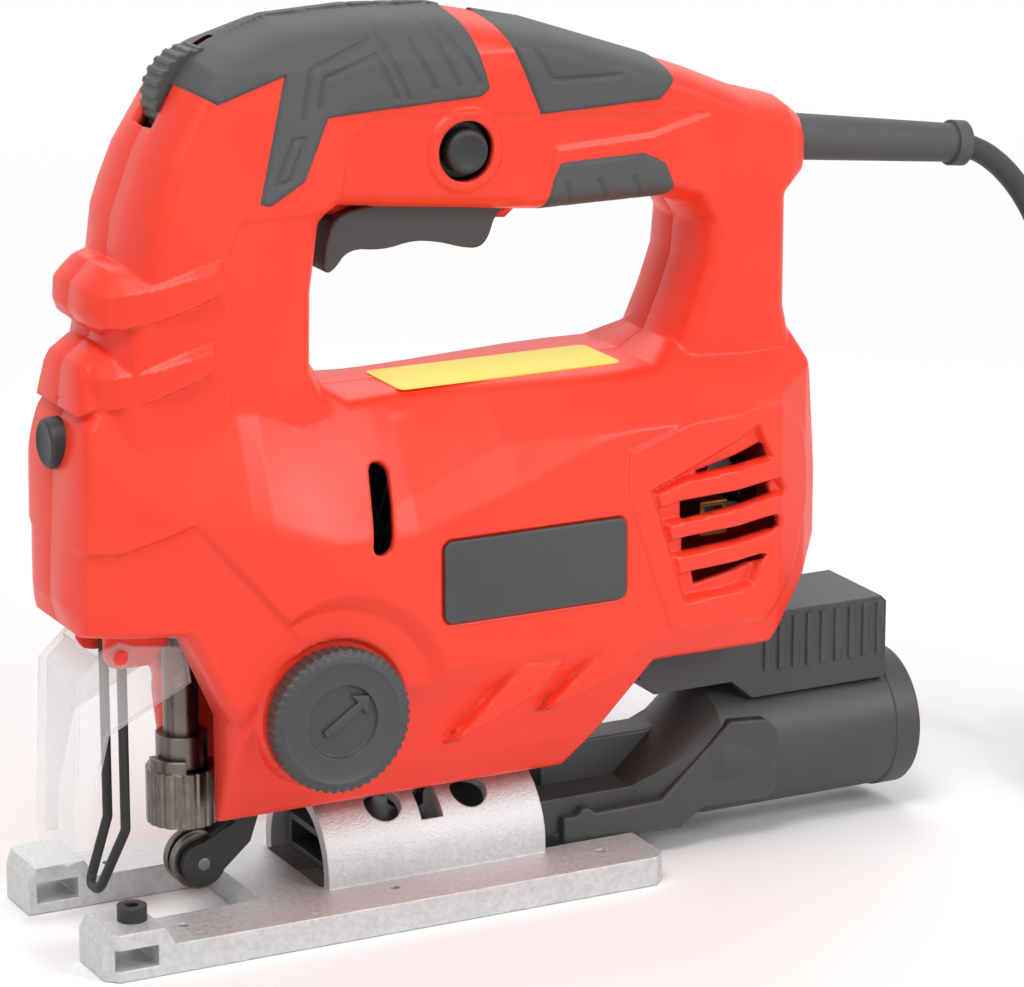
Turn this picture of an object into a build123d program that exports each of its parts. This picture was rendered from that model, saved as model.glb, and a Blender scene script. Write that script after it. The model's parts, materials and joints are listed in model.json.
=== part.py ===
from build123d import *
import math
import os

# A corded jigsaw with a closed handle. Millimetres, +Z up. Distances along the tool are measured from
# the front edge of the base plate and grow to the rear. The left side faces -Y. The sole is at z = 0.

# Overall length, from the base plate's front edge to the end of the dust port
OVERALL_LENGTH = 228.5

# Base plate
BASE_LENGTH = 146.6
BASE_WIDTH = 67.5
BASE_THICKNESS = 7.2
BASE_CORNER = 3.0
BLADE_SLOT_WIDTH = 32.5
BLADE_SLOT_LENGTH = 46.0
BRIDGE_LENGTH = 16.0
DUCT_GAP_WIDTH = 31.0
BLOCK_LENGTH = 14.5
BLOCK_RISE = 4.3
FENCE_SLOT_WIDTH = 10.6
FENCE_SLOT_HEIGHT = 5.1
FENCE_SLOT_FLOOR = 2.6
FENCE_SLOT_FRONT = 2.2
FENCE_SCREW_X = 9.8
PRONG_MIDDLE_Y = 25.0
FENCE_SCREW_RADIUS = 2.0
FENCE_SCREW_HEAD_RADIUS = 3.5
FENCE_SCREW_HEAD_HEIGHT = 3.6
SMALL_HOLE_RADIUS = 1.25
SMALL_HOLE_Y = 23.5
SMALL_HOLES = [23.3, 77.8, 133.4]
TILT_AXIS_Z = 9.5
ARCH_RADIUS = 18.5
ARCH_WALL = 3.0
ARCH_LENGTH = 58.0
ARCH_HOLE_RADIUS = 4.7
ARCH_HOLE_ANGLE = 38.0
ARCH_HOLE_SPACING = 23.0
TILT_LIMIT = 45.0
TILT_BOLT_RADIUS = 2.5
TILT_BOLT_HEAD_RADIUS = 4.4
TILT_BOLT_HEAD_HEIGHT = 3.6
TILT_BOLT_LENGTH = 17.0
TILT_WASHER_THICKNESS = 1.4
TILT_WASHER_RADIUS = 5.0

# Clearances
SLIDE_GAP = 0.4
RUNNING_GAP = 0.05
GUIDE_GAP = 0.1
MOVING_GAP = 0.35

# Casing
WALL = 3.0
GRIP_THICKNESS = 1.6
BODY_HALF_WIDTH = 33.4
HANDLE_HALF_WIDTH = 17.8
BEVEL_DEPTH = 9.0
BEVEL_STEP = 5.0
BEVEL_INSET = 1.2
BEVEL_ANGLE = 48.0
BODY_FLOOR_Z = 55.0
HAND_FLOOR_Z = 126.5
HAND_TOP_Z = 165.0
NOSE_FLOOR_Z = 77.5
SKIRT_FRONT = 36.0
WELL_START = 24.0
WELL_END = 66.0
WELL_WALL_TOP = 66.0
WELL_HALF_WIDTH = 13.5
RIB_THICKNESS = 2.5
BAND_HEIGHT = 8.5
BADGE_LENGTH = 48.6
BADGE_HEIGHT = 20.5
BADGE_THICKNESS = 1.0
BADGE_RECESS = 0.6
LABEL_LENGTH = 59.0
LABEL_WIDTH = 20.0
LABEL_THICKNESS = 0.3
LABEL_PLACE = (114.2, -4.0)
BADGE_PLACE = (110.7, 84.2)
VENT_LENGTH = 24.0
VENT_HEIGHT = 4.0
VENT_PITCH = 7.6
VENT_COUNT = 4
VENT_SLANT = -9.0
VENT_PLACE = (163.0, 88.0)
VENT_START_Y = 22.0
SIDE_SLOT_LENGTH = 18.0
SIDE_SLOT_WIDTH = 5.4
SIDE_SLOT_PLACE = (72.4, 103.0)
BOSS_RADIUS = 4.6
SCREW_RADIUS = 1.75
SCREW_HEAD_RADIUS = 3.4
SCREW_HEAD_HEIGHT = 2.6
SCREW_SEAT_Y = 8.0
SCREW_REACH = 9.0

# Motor and gears, on one axis along the tool
MOTOR_AXIS_Z = 88.0
SHAFT_RADIUS = 4.0
FIELD_RADIUS = 26.0
FIELD_FRONT = 104.0
FIELD_LENGTH = 44.0
FIELD_BACK_WALL = 4.2
ARMATURE_RADIUS = 14.8
AIR_GAP = 0.6
POLE_HALF_ANGLE = 50.0
COIL_HALF_ANGLE = 70.0
COIL_OVERHANG = 6.0
WINDING_OVERHANG = 5.0
WINDING_RADIUS = 13.4
COMMUTATOR_RADIUS = 11.0
COMMUTATOR_FRONT = 157.0
COMMUTATOR_LENGTH = 13.0
BRUSH_WIDTH = 5.0
BRUSH_HEIGHT = 6.0
BRUSH_LENGTH = 10.0
BRUSH_HOLDER_WALL = 1.2
BRUSH_HOLDER_LENGTH = 12.0
FAN_RADIUS = 24.0
FAN_FRONT = 84.0
FAN_LENGTH = 10.0
FAN_BLADES = 9
FAN_PLATE = 1.6
BEARING_RADIUS = 8.0
BEARING_WIDTH = 5.0
FRONT_BEARING_FRONT = 60.5
REAR_BEARING_FRONT = 180.0
GEAR_MODULE = 0.8
PINION_TEETH = 10
GEAR_TEETH = 48
GEAR_WIDTH = 7.0
PRESSURE_ANGLE = 25.0
BACKLASH = 0.16
MESH_GAP = 0.12
ADDENDUM = 0.64
DEDENDUM = 0.84
CRANK_RADIUS = 9.0
CRANK_PIN_RADIUS = 3.0
GEAR_AXLE_RADIUS = 4.0
CASE_PLATE_FRONT = 58.0
CASE_PLATE_THICKNESS = 4.0
CASE_ARM = 6.0

# Plunger, blade clamp and pendulum roller
PLUNGER_X = 33.5
PLUNGER_RADIUS = 4.3
PLUNGER_BOTTOM = 26.0
PLUNGER_TOP = 153.0
BUSH_RADIUS = 7.0
BUSH_LENGTH = 12.0
LOWER_BUSH_Z = 72.0
UPPER_BUSH_Z = 139.0
YOKE_THICKNESS = 3.5
YOKE_HALF_WIDTH = 15.5
YOKE_HALF_HEIGHT = 7.0
CLAMP_RADIUS = 8.7
CLAMP_BOTTOM = 24.5
CLAMP_HEIGHT = 13.5
CLAMP_TAB_HEIGHT = 3.0
COLLAR_RADIUS = 6.2
COLLAR_HEIGHT = 8.0
BLADE_SLOT_DEPTH = 14.0
BLADE_SHANK_THICKNESS = 1.7
BLADE_SHANK_WIDTH = 6.6
ROLLER_X = 36.4
ROLLER_Z = 14.1
ROLLER_RADIUS = 7.0
ROLLER_WIDTH = 6.0
ROLLER_PIN_RADIUS = 1.5
LEVER_CHEEK = 2.2
LEVER_PIVOT_X = 48.0
LEVER_PIVOT_Z = 68.5
LEVER_PIN_RADIUS = 2.0
LUG_THICKNESS = 3.0

# Guards
GUARD_HALF_WIDTH = 11.7
GUARD_WALL = 1.6
GUARD_PIVOT_X = 13.9
GUARD_PIVOT_Z = 70.5
GUARD_PIVOT_RADIUS = 1.8
GUARD_LUG_THICKNESS = 2.3
WIRE_RADIUS = 1.2
WIRE_X = 16.5
WIRE_HALF_SPACING = 5.6
WIRE_BEND = 2.5

# Controls
TRIGGER_HALF_WIDTH = 8.5
TRIGGER_PIVOT_X = 113.0
TRIGGER_PIVOT_Z = 168.8
TRIGGER_PIVOT_RADIUS = 1.8
TRIGGER_STUB = 2.6
TRIGGER_SLOT_FRONT = 66.0
LOCK_X = 100.2
LOCK_Z = 182.7
LOCK_RADIUS = 5.4
LOCK_RING_RADIUS = 10.0
LOCK_RING_RISE = 1.2
LOCK_FLANGE_Y = -13.1
BUTTON_FLANGE = 1.4
LIGHT_RADIUS = 6.0
LIGHT_Z = 120.5
LIGHT_FACE = 0.9
LIGHT_FLANGE_X = 9.6
DIAL_X = 40.0
DIAL_Z = 198.0
DIAL_RADIUS = 11.6
DIAL_WIDTH = 9.0
DIAL_NOTCHES = 26
DIAL_STUB_RADIUS = 2.0
DIAL_STUB = 3.0
KNOB_X = 59.1
KNOB_Z = 55.2
KNOB_RADIUS = 17.5
KNOB_THICKNESS = 6.2
KNOB_SEAT_Y = 30.0
KNOB_STEM_RADIUS = 4.8
KNOB_SEAT_DEPTH = 9.6
KNOB_STEM_END = 15.0
KNOB_EDGE = 1.2
KNOB_DISH = 1.6
CAM_RADIUS = 5.5
CAM_OFFSET = 1.7
ORBIT_SHAFT_RADIUS = 4.0

# Switch, board and lead inside the handle
SWITCH_FRONT = 84.0
SWITCH_LENGTH = 34.0
SWITCH_HALF_WIDTH = 9.2
SWITCH_FLOOR_Z = 175.0
SWITCH_HEIGHT = 19.0
BOARD_THICKNESS = 1.6
LEAD_RADIUS = 3.0
LEAD_DROOP = 7.1
RELIEF_X = 199.1
RELIEF_Z = 174.3
RELIEF_ROOT_RADIUS = 5.85
RELIEF_TIP_RADIUS = 4.85
RELIEF_LENGTH = 45.0
RELIEF_COLLAR_RADIUS = 5.7
RELIEF_COLLAR_LENGTH = 3.8
RELIEF_MOUTH_RADIUS = 3.4
RELIEF_MOUTH_DEPTH = 1.6
RELIEF_FLANGE_RADIUS = 6.6
RELIEF_FLANGE_BACK = 8.0
RELIEF_FLANGE_THICKNESS = 2.8
LEAD_INSIDE_LENGTH = 22.0
CORD_CLAMP_LENGTH = 6.0

# Dust adapter
PORT_RADIUS = 17.5
PORT_BORE_RADIUS = 15.0
PORT_AXIS_Z = 21.75
DUCT_HALF_WIDTH = 11.4
DUCT_BOTTOM = 8.6
DUCT_TOP = 17.6
DUCT_WALL = 1.6
DUCT_FRONT = 66.0
DUCT_END = 148.5
PORT_FRONT = 172.0
ARM_BOTTOM = 41.0
BOX_FRONT = 182.0
BOX_END = 220.5
BOX_TOP = 57.5
BOX_HALF_WIDTH = 12.7
BOX_RIBS = 9
BOX_RIB_RISE = 0.6

# Mains cord
CORD_RADIUS = 3.0
COIL_X = 315.0
COIL_Y = -30.0
COIL_FLOOR_Z = 4.2
COIL_START_RADIUS = 38.6
COIL_STEP = 3.6
COIL_RISE = 7.0
COIL_INNER_CLIMB = 28.9
COIL_OUTER_CLIMB = 42.5
COIL_HALF_TURNS = 13
TIE_THICKNESS = 0.8
TIE_WIDTH = 12.0
TIE_INSIDE = 26.0
TIE_OUTSIDE = 41.9
TIE_TOP = 29.2
PLUG_LENGTH = 34.0
PLUG_WIDTH = 34.0
PLUG_HEIGHT = 15.0
PIN_RADIUS = 2.4
PIN_LENGTH = 19.0
PIN_SPACING = 19.0

# Values that follow from the sizes above
FRONT = -OVERALL_LENGTH / 2
BRIDGE_END = BLADE_SLOT_LENGTH + BRIDGE_LENGTH
ARCH_FRONT = BRIDGE_END + 1
ARCH_MIDDLE = ARCH_FRONT + ARCH_LENGTH / 2
ARCH_HOLES = [ARCH_MIDDLE - ARCH_HOLE_SPACING / 2, ARCH_MIDDLE + ARCH_HOLE_SPACING / 2]
SKIRT_FLOOR_Z = TILT_AXIS_Z + ARCH_RADIUS + GUIDE_GAP
TILT_SLOT_HALF_ANGLE = TILT_LIMIT + 11
ARCH_INSIDE = ARCH_RADIUS - ARCH_WALL
TILT_WASHER_TOP = TILT_AXIS_Z + math.sqrt(ARCH_INSIDE**2 - TILT_WASHER_RADIUS**2) - GUIDE_GAP
TILT_HEAD_TOP = TILT_WASHER_TOP - TILT_WASHER_THICKNESS
FENCE_SLOT_X = FENCE_SLOT_FRONT + FENCE_SLOT_WIDTH / 2
FENCE_SLOT_TOP = FENCE_SLOT_FLOOR + FENCE_SLOT_HEIGHT
BADGE_PROUD = BADGE_THICKNESS - BADGE_RECESS
TRIGGER_SLOT_END = TRIGGER_PIVOT_X + 4
LEVER_HALF_WIDTH = ROLLER_WIDTH / 2 + MOVING_GAP + LEVER_CHEEK
PINION_TIP = GEAR_MODULE * PINION_TEETH / 2 + ADDENDUM
PINION_ROOT = GEAR_MODULE * PINION_TEETH / 2 - DEDENDUM
GEAR_TIP = GEAR_MODULE * GEAR_TEETH / 2 + ADDENDUM
GEAR_ROOT = GEAR_MODULE * GEAR_TEETH / 2 - DEDENDUM
FIELD_RIBS = [FIELD_FRONT + 6, FIELD_FRONT + FIELD_LENGTH - 6 - RIB_THICKNESS]
BRUSH_X = COMMUTATOR_FRONT + COMMUTATOR_LENGTH / 2
HOLDER_HALF_WIDTH = BRUSH_WIDTH / 2 + BRUSH_HOLDER_WALL
HOLDER_HALF_HEIGHT = BRUSH_HEIGHT / 2 + BRUSH_HOLDER_WALL
HOLDER_START = COMMUTATOR_RADIUS + 1.4
HOLDER_END = HOLDER_START + BRUSH_HOLDER_LENGTH
SWITCH_RIBS = [SWITCH_FRONT + 6, SWITCH_FRONT + SWITCH_LENGTH - 6]
CASE_RIB_X = CASE_PLATE_FRONT + CASE_PLATE_THICKNESS
CORD_CLAMP_X = RELIEF_X - 24
CORD_SHELF_Z = RELIEF_Z - 3
GEAR_DISTANCE = GEAR_MODULE * (PINION_TEETH + GEAR_TEETH) / 2 + MESH_GAP
GEAR_AXIS_Z = MOTOR_AXIS_Z + GEAR_DISTANCE
GEAR_FRONT = CASE_PLATE_FRONT - 3 - GEAR_WIDTH
YOKE_FRONT = GEAR_FRONT - 3.5 - YOKE_THICKNESS
CRANK_Z = GEAR_AXIS_Z - CRANK_RADIUS
ARM_TOP = BODY_FLOOR_Z - GUIDE_GAP
LUG_Y = GUARD_HALF_WIDTH - GUARD_WALL - MOVING_GAP
BLOCK_TOP = BASE_THICKNESS + BLOCK_RISE

# Side outlines of the casing, as distance from the front and height
BODY_SIDE = [
    (1.2, 84), (2.8, 114.4), (5, HAND_FLOOR_Z), (193.5, HAND_FLOOR_Z), (195.5, 119.7), (199.5, 94),
    (199.5, 76.5), (190.6, 67.1), (178, BODY_FLOOR_Z), (145.7, BODY_FLOOR_Z), (126.1, SKIRT_FLOOR_Z),
    (SKIRT_FRONT, SKIRT_FLOOR_Z), (SKIRT_FRONT, 54), (25.5, NOSE_FLOOR_Z), (3, NOSE_FLOOR_Z),
]
LOOP_SIDE = [
    (4, 100), (5, HAND_FLOOR_Z), (8.5, 131.6), (14, 150), (17, 162.4), (18.5, 172.5), (24, 187), (33, 202.5),
    (37, 207.5), (43, 210.5), (56.6, 215.1), (76.8, 216), (97.3, 215.1), (123.4, 209.3), (163.9, 195.5),
    (180, 188.7), (191.2, 185.7), (196.5, 182.2), (198.8, 177), (198.8, 170.6), (197.5, 166.5), (191.5, 162.5),
    (191.5, 136), (193.5, 128), (193.5, 100),
]
HAND_GAP = [
    (66.2, 153), (65.5, 136), (69, 130), (75, HAND_FLOOR_Z), (150, HAND_FLOOR_Z), (157, 130.7),
    (161, 139.8), (164.2, 149), (165, 158), (162, 163), (156, HAND_TOP_Z), (70, HAND_TOP_Z),
]
# Half-widths of the casing against height, and against distance from the front
BODY_CROSS = [
    (SKIRT_FLOOR_Z, 18.0), (38, 24), (BODY_FLOOR_Z, 29), (64.5, BODY_HALF_WIDTH), (114.6, BODY_HALF_WIDTH),
    (HAND_FLOOR_Z, 20),
]
BODY_PLAN = [
    (1.2, 11), (3.5, 18), (12, 23.5), (24, 27.5), (37, 30.5), (60, BODY_HALF_WIDTH), (150, BODY_HALF_WIDTH),
    (166, 32), (180, 28), (191, 21), (199.5, 12),
]
LOOP_CROSS = [(95, 22), (165, 22), (190, 19), (205, 17), (216.5, 11)]
LOOP_PLAN = [
    (4, 9), (9, 15), (16, 19.5), (30, 21.5), (56, 21.5), (70, HANDLE_HALF_WIDTH), (150, 17.2), (175, 16.5),
    (192, 14.5), (199.5, 10),
]
BAND_PLAN = [(4.5, 8), (6, 11.5), (9, 15.4), (12.7, 18.2), (20.5, 21.6), (28, 23.4), (35, 23.6)]
BAND_PLACES = [(0, 127.7), (2.5, 146.1)]
BAND_RISE = 16.0
# Slopes of the shoulder ahead of and behind a place: half-width at a point, and its change along x and z
SHOULDER_SPLIT = 60.0
SHOULDER_OVERLAP = 20.0
FRONT_SHOULDER = [((0, 76.3), 0.16, -0.36), ((60, 103), -0.3, -0.36)]
REAR_SHOULDER = [((60, 94), 0.135, -0.5), ((69.6, 97.6), 0.172, -0.62)]
# Gussets between the body and its skid
FIN_SIDES = [
    [(90.5, 42.2), (107.7, 60.6), (119, 60.2), (112.5, 52)],
    [(114.1, 46.9), (130, 62), (141.4, 62), (135.5, 54)],
]
FIN_REACH = 30.6
# Outlines of the soft grips on the side of the handle
FRONT_GRIP = [
    (30, 204), (38, 198.5), (54.5, 203.5), (46.5, 175.5), (49.5, 174.8), (58.4, 179.7), (65.1, 193.4),
    (104.3, 194.9), (106.9, 196.8), (100, 220), (30, 220),
]
REAR_GRIP = [(106, 220), (119.9, 189.3), (151.8, 190.2), (156.4, 194.6), (155, 220)]
UNDER_GRIP = [
    (121.5, 158), (121.8, 168.6), (123.1, 173.7), (125.2, 177.8), (147.6, 178.2), (153.6, 175.2),
    (156.4, 168.9), (156, 158),
]
# Places of the casing screws
SCREW_PLACES = [(13, 104), (57, 176), (78, 46), (117, 44), (167, 64), (179, 142), (163, 181)]
# Side outlines of the smaller pieces
TRIGGER_SIDE = [
    (70.6, 168), (68.4, 161), (67.8, 155.2), (70.4, 155), (74.5, 160.3), (83.5, 159), (91, 160.6), (98, 159.6),
    (104, 157.6), (108.5, 157), (111, 159.5), (112.5, 164.4), (115.6, 166.4), (115.6, 171.4), (111, 172),
    (80, 170.5),
]
GUARD_SIDE = [
    (0.6, 20.2), (5.4, 20.6), (6.2, 34), (10.5, 52), (24, 58.5), (31.4, 62), (30.2, 70.8), (17.5, 72.6),
    (13.9, 74), (9.6, 72.4), (2.6, 66),
]
GUARD_LUG_SIDE = [(11, 79), (11, 68.5), (14, 67), (22, 67), (27, 72), (24, 79)]
LEVER_SIDE = [
    (33.4, 18.2), (44.8, 23.4), (46.4, 30), (46, 58), (44.4, 66), (44.6, 71.6), (51.4, 71.6), (51.4, 40),
    (51.4, 27), (48.4, 18), (39.4, 10.2),
]
LEVER_WEB_Z = 29.0
LUG_SIDE = [(43.6, 77), (44.4, 65.6), (46, 64.4), (50, 64.4), (52, 66), (53, 77)]
# Side outlines of the base plate, the inside of the chip guard and the dust adapter's arm
PLATE_SIDE = [
    (0, 0), (0, BLOCK_TOP - 3), (2, BLOCK_TOP), (BLOCK_LENGTH, BLOCK_TOP), (BLOCK_LENGTH + 2.5, BASE_THICKNESS),
    (BASE_LENGTH, BASE_THICKNESS), (BASE_LENGTH, 0),
]
GUARD_INSIDE = [(2.2, 19), (4.2, 66), (8.4, 70), (8.4, 77), (40, 77), (40, 19)]
GUARD_CORNER = [(7.6, 19), (7.6, 20.2), (11.8, 25), (13, 25), (13, 19)]
ARM_SIDE = [
    (150, ARM_TOP), (150, 45), (154, ARM_BOTTOM), (176, ARM_BOTTOM), (BOX_FRONT, 36), (BOX_END, 36),
    (BOX_END, 56), (219, BOX_TOP), (BOX_FRONT + 1.5, BOX_TOP), (BOX_FRONT, ARM_TOP),
]
# Routes of the bent wire, the free cord and the plug's lead
WIRE_ROUTE = [
    (WIRE_X, -WIRE_HALF_SPACING, 79), (WIRE_X, -WIRE_HALF_SPACING, 26), (10.5, -3, 11), (10.5, 3, 11),
    (WIRE_X, WIRE_HALF_SPACING, 26), (WIRE_X, WIRE_HALF_SPACING, 79),
]
CORD_ROUTE = [
    (246.63, 0, 168.38), (252.3, 0, 166.4), (258.6, 0, 162.1), (264.3, 0, 156.3), (269.4, 0, 148.8),
    (274.1, 0, 139.3), (278.2, 0.2, 127.4), (281.4, 0.8, 112.6), (284, 2.6, 95), (286.4, 6, 78), (288, 10.4, 60),
    (288, 14, 44), (286, 14.2, 29.5), (283.4, 9.6, 17.6), (280, 0.4, 8.8), (276.4, -12, 4.2), (276.4, -24, 4.2),
]
LEAD_ROUTE = [
    (348.6, -24, 25.2), (348.6, -16, 25.2), (344.9, -7, 25.9), (338, -0.2, 27.5), (329.1, 3.5, 29.5),
    (319.4, 3.5, 31.7), (310.4, -0.2, 33.8), (303.6, -7.1, 35.8), (299.9, -16, 37), (299.9, -25.5, 37),
]
PLUG_BACK = Plane(origin=(FRONT + 299.9, -25.5, 37), x_dir=(1, 0, 0), z_dir=(0, -1, 0))
CASE_PLATE = [(-24, 74), (24, 74), (24, 97), (11.5, 114), (11.5, 149), (-11.5, 149), (-11.5, 114), (-24, 97)]


def side(y):
    """A plane along the tool that faces the left: local x from the front edge, local y up."""
    return Plane(origin=(FRONT, y, 0), x_dir=(1, 0, 0), z_dir=(0, -1, 0))


def level(z):
    """A plane parallel to the sole: local x from the front edge."""
    return Plane(origin=(FRONT, 0, z))


def cross(x):
    """A plane across the tool that faces the rear: local x to the right, local y up."""
    return Plane(origin=(FRONT + x, 0, 0), x_dir=(0, 1, 0), z_dir=(1, 0, 0))


def outline(points, inset=0.0):
    """A closed outline with straight edges, drawn in by the inset."""
    with BuildSketch(mode=Mode.PRIVATE) as shape:
        with BuildLine():
            Polyline(*points, close=True)
        make_face()
        if inset:
            offset(amount=-inset, kind=Kind.INTERSECTION)
    return shape.sketch


def twice(half_widths, upright):
    """A symmetrical outline from half-widths along one direction, which is upright or lies along x."""
    there = [(w, a) if upright else (a, w) for a, w in half_widths]
    back = [(-w, a) if upright else (a, -w) for a, w in reversed(half_widths)]
    return there + back


def save(piece, name):
    """Label a finished piece and write it."""
    piece.part.label = name
    export_step(piece.part, f"parts/{name}.step")


def slope_plane(slope, hand, inset):
    """The plane of one shoulder slope on one hand, facing out and drawn in by the inset."""
    (x, z), along_x, along_z = slope
    outward = Vector(-along_x, hand, -along_z).normalized()
    return Plane(origin=Vector(FRONT + x, hand * BODY_HALF_WIDTH, z) - outward * inset, z_dir=outward)


def casing_form(inset):
    """The casing's outer form, drawn in by the inset all over."""
    with BuildPart(mode=Mode.PRIVATE) as form:
        with BuildSketch(side(0)):
            add(outline(LOOP_SIDE, inset))
            add(outline(HAND_GAP, -inset), mode=Mode.SUBTRACT)
        extrude(amount=22 - BEVEL_DEPTH - inset)
        with BuildSketch(side(BEVEL_DEPTH + inset - 22)):
            add(outline(LOOP_SIDE, inset))
            add(outline(HAND_GAP, -inset), mode=Mode.SUBTRACT)
        extrude(amount=BEVEL_STEP, taper=math.degrees(math.atan2(BEVEL_INSET, BEVEL_STEP)))
        with BuildSketch(side(BEVEL_DEPTH - BEVEL_STEP + inset - 22)):
            add(outline(LOOP_SIDE, inset + BEVEL_INSET))
            add(outline(HAND_GAP, -inset - BEVEL_INSET), mode=Mode.SUBTRACT)
        extrude(amount=BEVEL_DEPTH - BEVEL_STEP, taper=BEVEL_ANGLE)
        mirror(about=Plane.XZ)
        with BuildSketch(cross(0)):
            add(outline(twice(LOOP_CROSS, True), inset))
        extrude(amount=OVERALL_LENGTH, mode=Mode.INTERSECT)
        with BuildSketch(level(0)):
            add(outline(twice(LOOP_PLAN, False), inset))
        extrude(amount=2 * HAND_FLOOR_Z, mode=Mode.INTERSECT)
    with BuildPart(mode=Mode.PRIVATE) as body:
        with BuildSketch(side(0)):
            add(outline(BODY_SIDE, inset))
        extrude(amount=BASE_WIDTH, both=True)
        with BuildSketch(cross(0)):
            add(outline(twice(BODY_CROSS, True), inset))
        extrude(amount=OVERALL_LENGTH, mode=Mode.INTERSECT)
        with BuildSketch(level(0)):
            add(outline(twice(BODY_PLAN, False), inset))
        extrude(amount=2 * HAND_FLOOR_Z, mode=Mode.INTERSECT)
    # The shoulder slopes one way ahead of the hand gap and another way beside it
    with BuildPart(mode=Mode.PRIVATE) as ahead:
        add(body.part)
        split(bisect_by=cross(SHOULDER_SPLIT + SHOULDER_OVERLAP), keep=Keep.BOTTOM)
        for slope in FRONT_SHOULDER:
            for hand in (-1, 1):
                split(bisect_by=slope_plane(slope, hand, inset), keep=Keep.BOTTOM)
    with BuildPart(mode=Mode.PRIVATE) as behind:
        add(body.part)
        split(bisect_by=cross(SHOULDER_SPLIT), keep=Keep.TOP)
        for slope in REAR_SHOULDER:
            for hand in (-1, 1):
                split(bisect_by=slope_plane(slope, hand, inset), keep=Keep.BOTTOM)
        add(ahead.part)
        add(form.part)
    return behind.part


def involute(teeth, tip, root, first):
    """Points round an external gear, whose first tooth points along the given angle in degrees."""
    pitch = GEAR_MODULE * teeth / 2
    base = pitch * math.cos(math.radians(PRESSURE_ANGLE))

    def roll(radius):
        angle = math.acos(min(1.0, base / radius))
        return math.tan(angle) - angle

    half = (math.pi * GEAR_MODULE / 2 - BACKLASH) / (2 * pitch) + roll(pitch)
    low = max(base, root)
    flank = [(root, half - roll(low))] if root < base else []
    flank += [(low + (tip - low) * k / 4, half - roll(low + (tip - low) * k / 4)) for k in range(5)]
    turns = [(r, -a) for r, a in flank] + [(r, a) for r, a in reversed(flank)]
    points = []
    for tooth in range(teeth):
        middle = math.radians(first) + 2 * math.pi * tooth / teeth
        points += [(r * math.cos(middle + a), r * math.sin(middle + a)) for r, a in turns]
    return points


def lead_plane(distance):
    """A plane across the lead's axis, at a distance behind the handle's rear end."""
    droop = math.radians(LEAD_DROOP)
    along = Vector(math.cos(droop), 0, -math.sin(droop))
    return Plane(origin=Vector(FRONT + RELIEF_X, 0, RELIEF_Z) + along * distance, x_dir=(0, 1, 0), z_dir=along)


def sector(radius, half_angle, middle):
    """Points of a wedge from the axis, wider than the radius, about an angle in degrees."""
    reach = 1.6 * radius
    turn = [math.radians(middle + half_angle * k) for k in (-1, -0.5, 0, 0.5, 1)]
    return [(0, 0)] + [(reach * math.cos(a), reach * math.sin(a)) for a in turn]


def from_front(points):
    """Points measured from the base plate's front edge, in the model's own frame."""
    return [(FRONT + x, y, z) for x, y, z in points]


def bend_radii(points):
    """The radius that the two runs at each corner of a cord's route allow."""
    radii = []
    for before, corner, after in zip(points, points[1:], points[2:]):
        came = Vector(corner) - Vector(before)
        goes = Vector(after) - Vector(corner)
        half_turn = math.radians(came.get_angle(goes) / 2)
        radii.append(0.45 * min(came.length, goes.length) / math.tan(half_turn))
    return radii


os.makedirs("parts", exist_ok=True)

# Casing: a hollow form with ribs and bosses inside, split down the middle
outer_form = casing_form(0)
grip_floor = casing_form(GRIP_THICKNESS)
cavity = casing_form(WALL)

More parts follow.
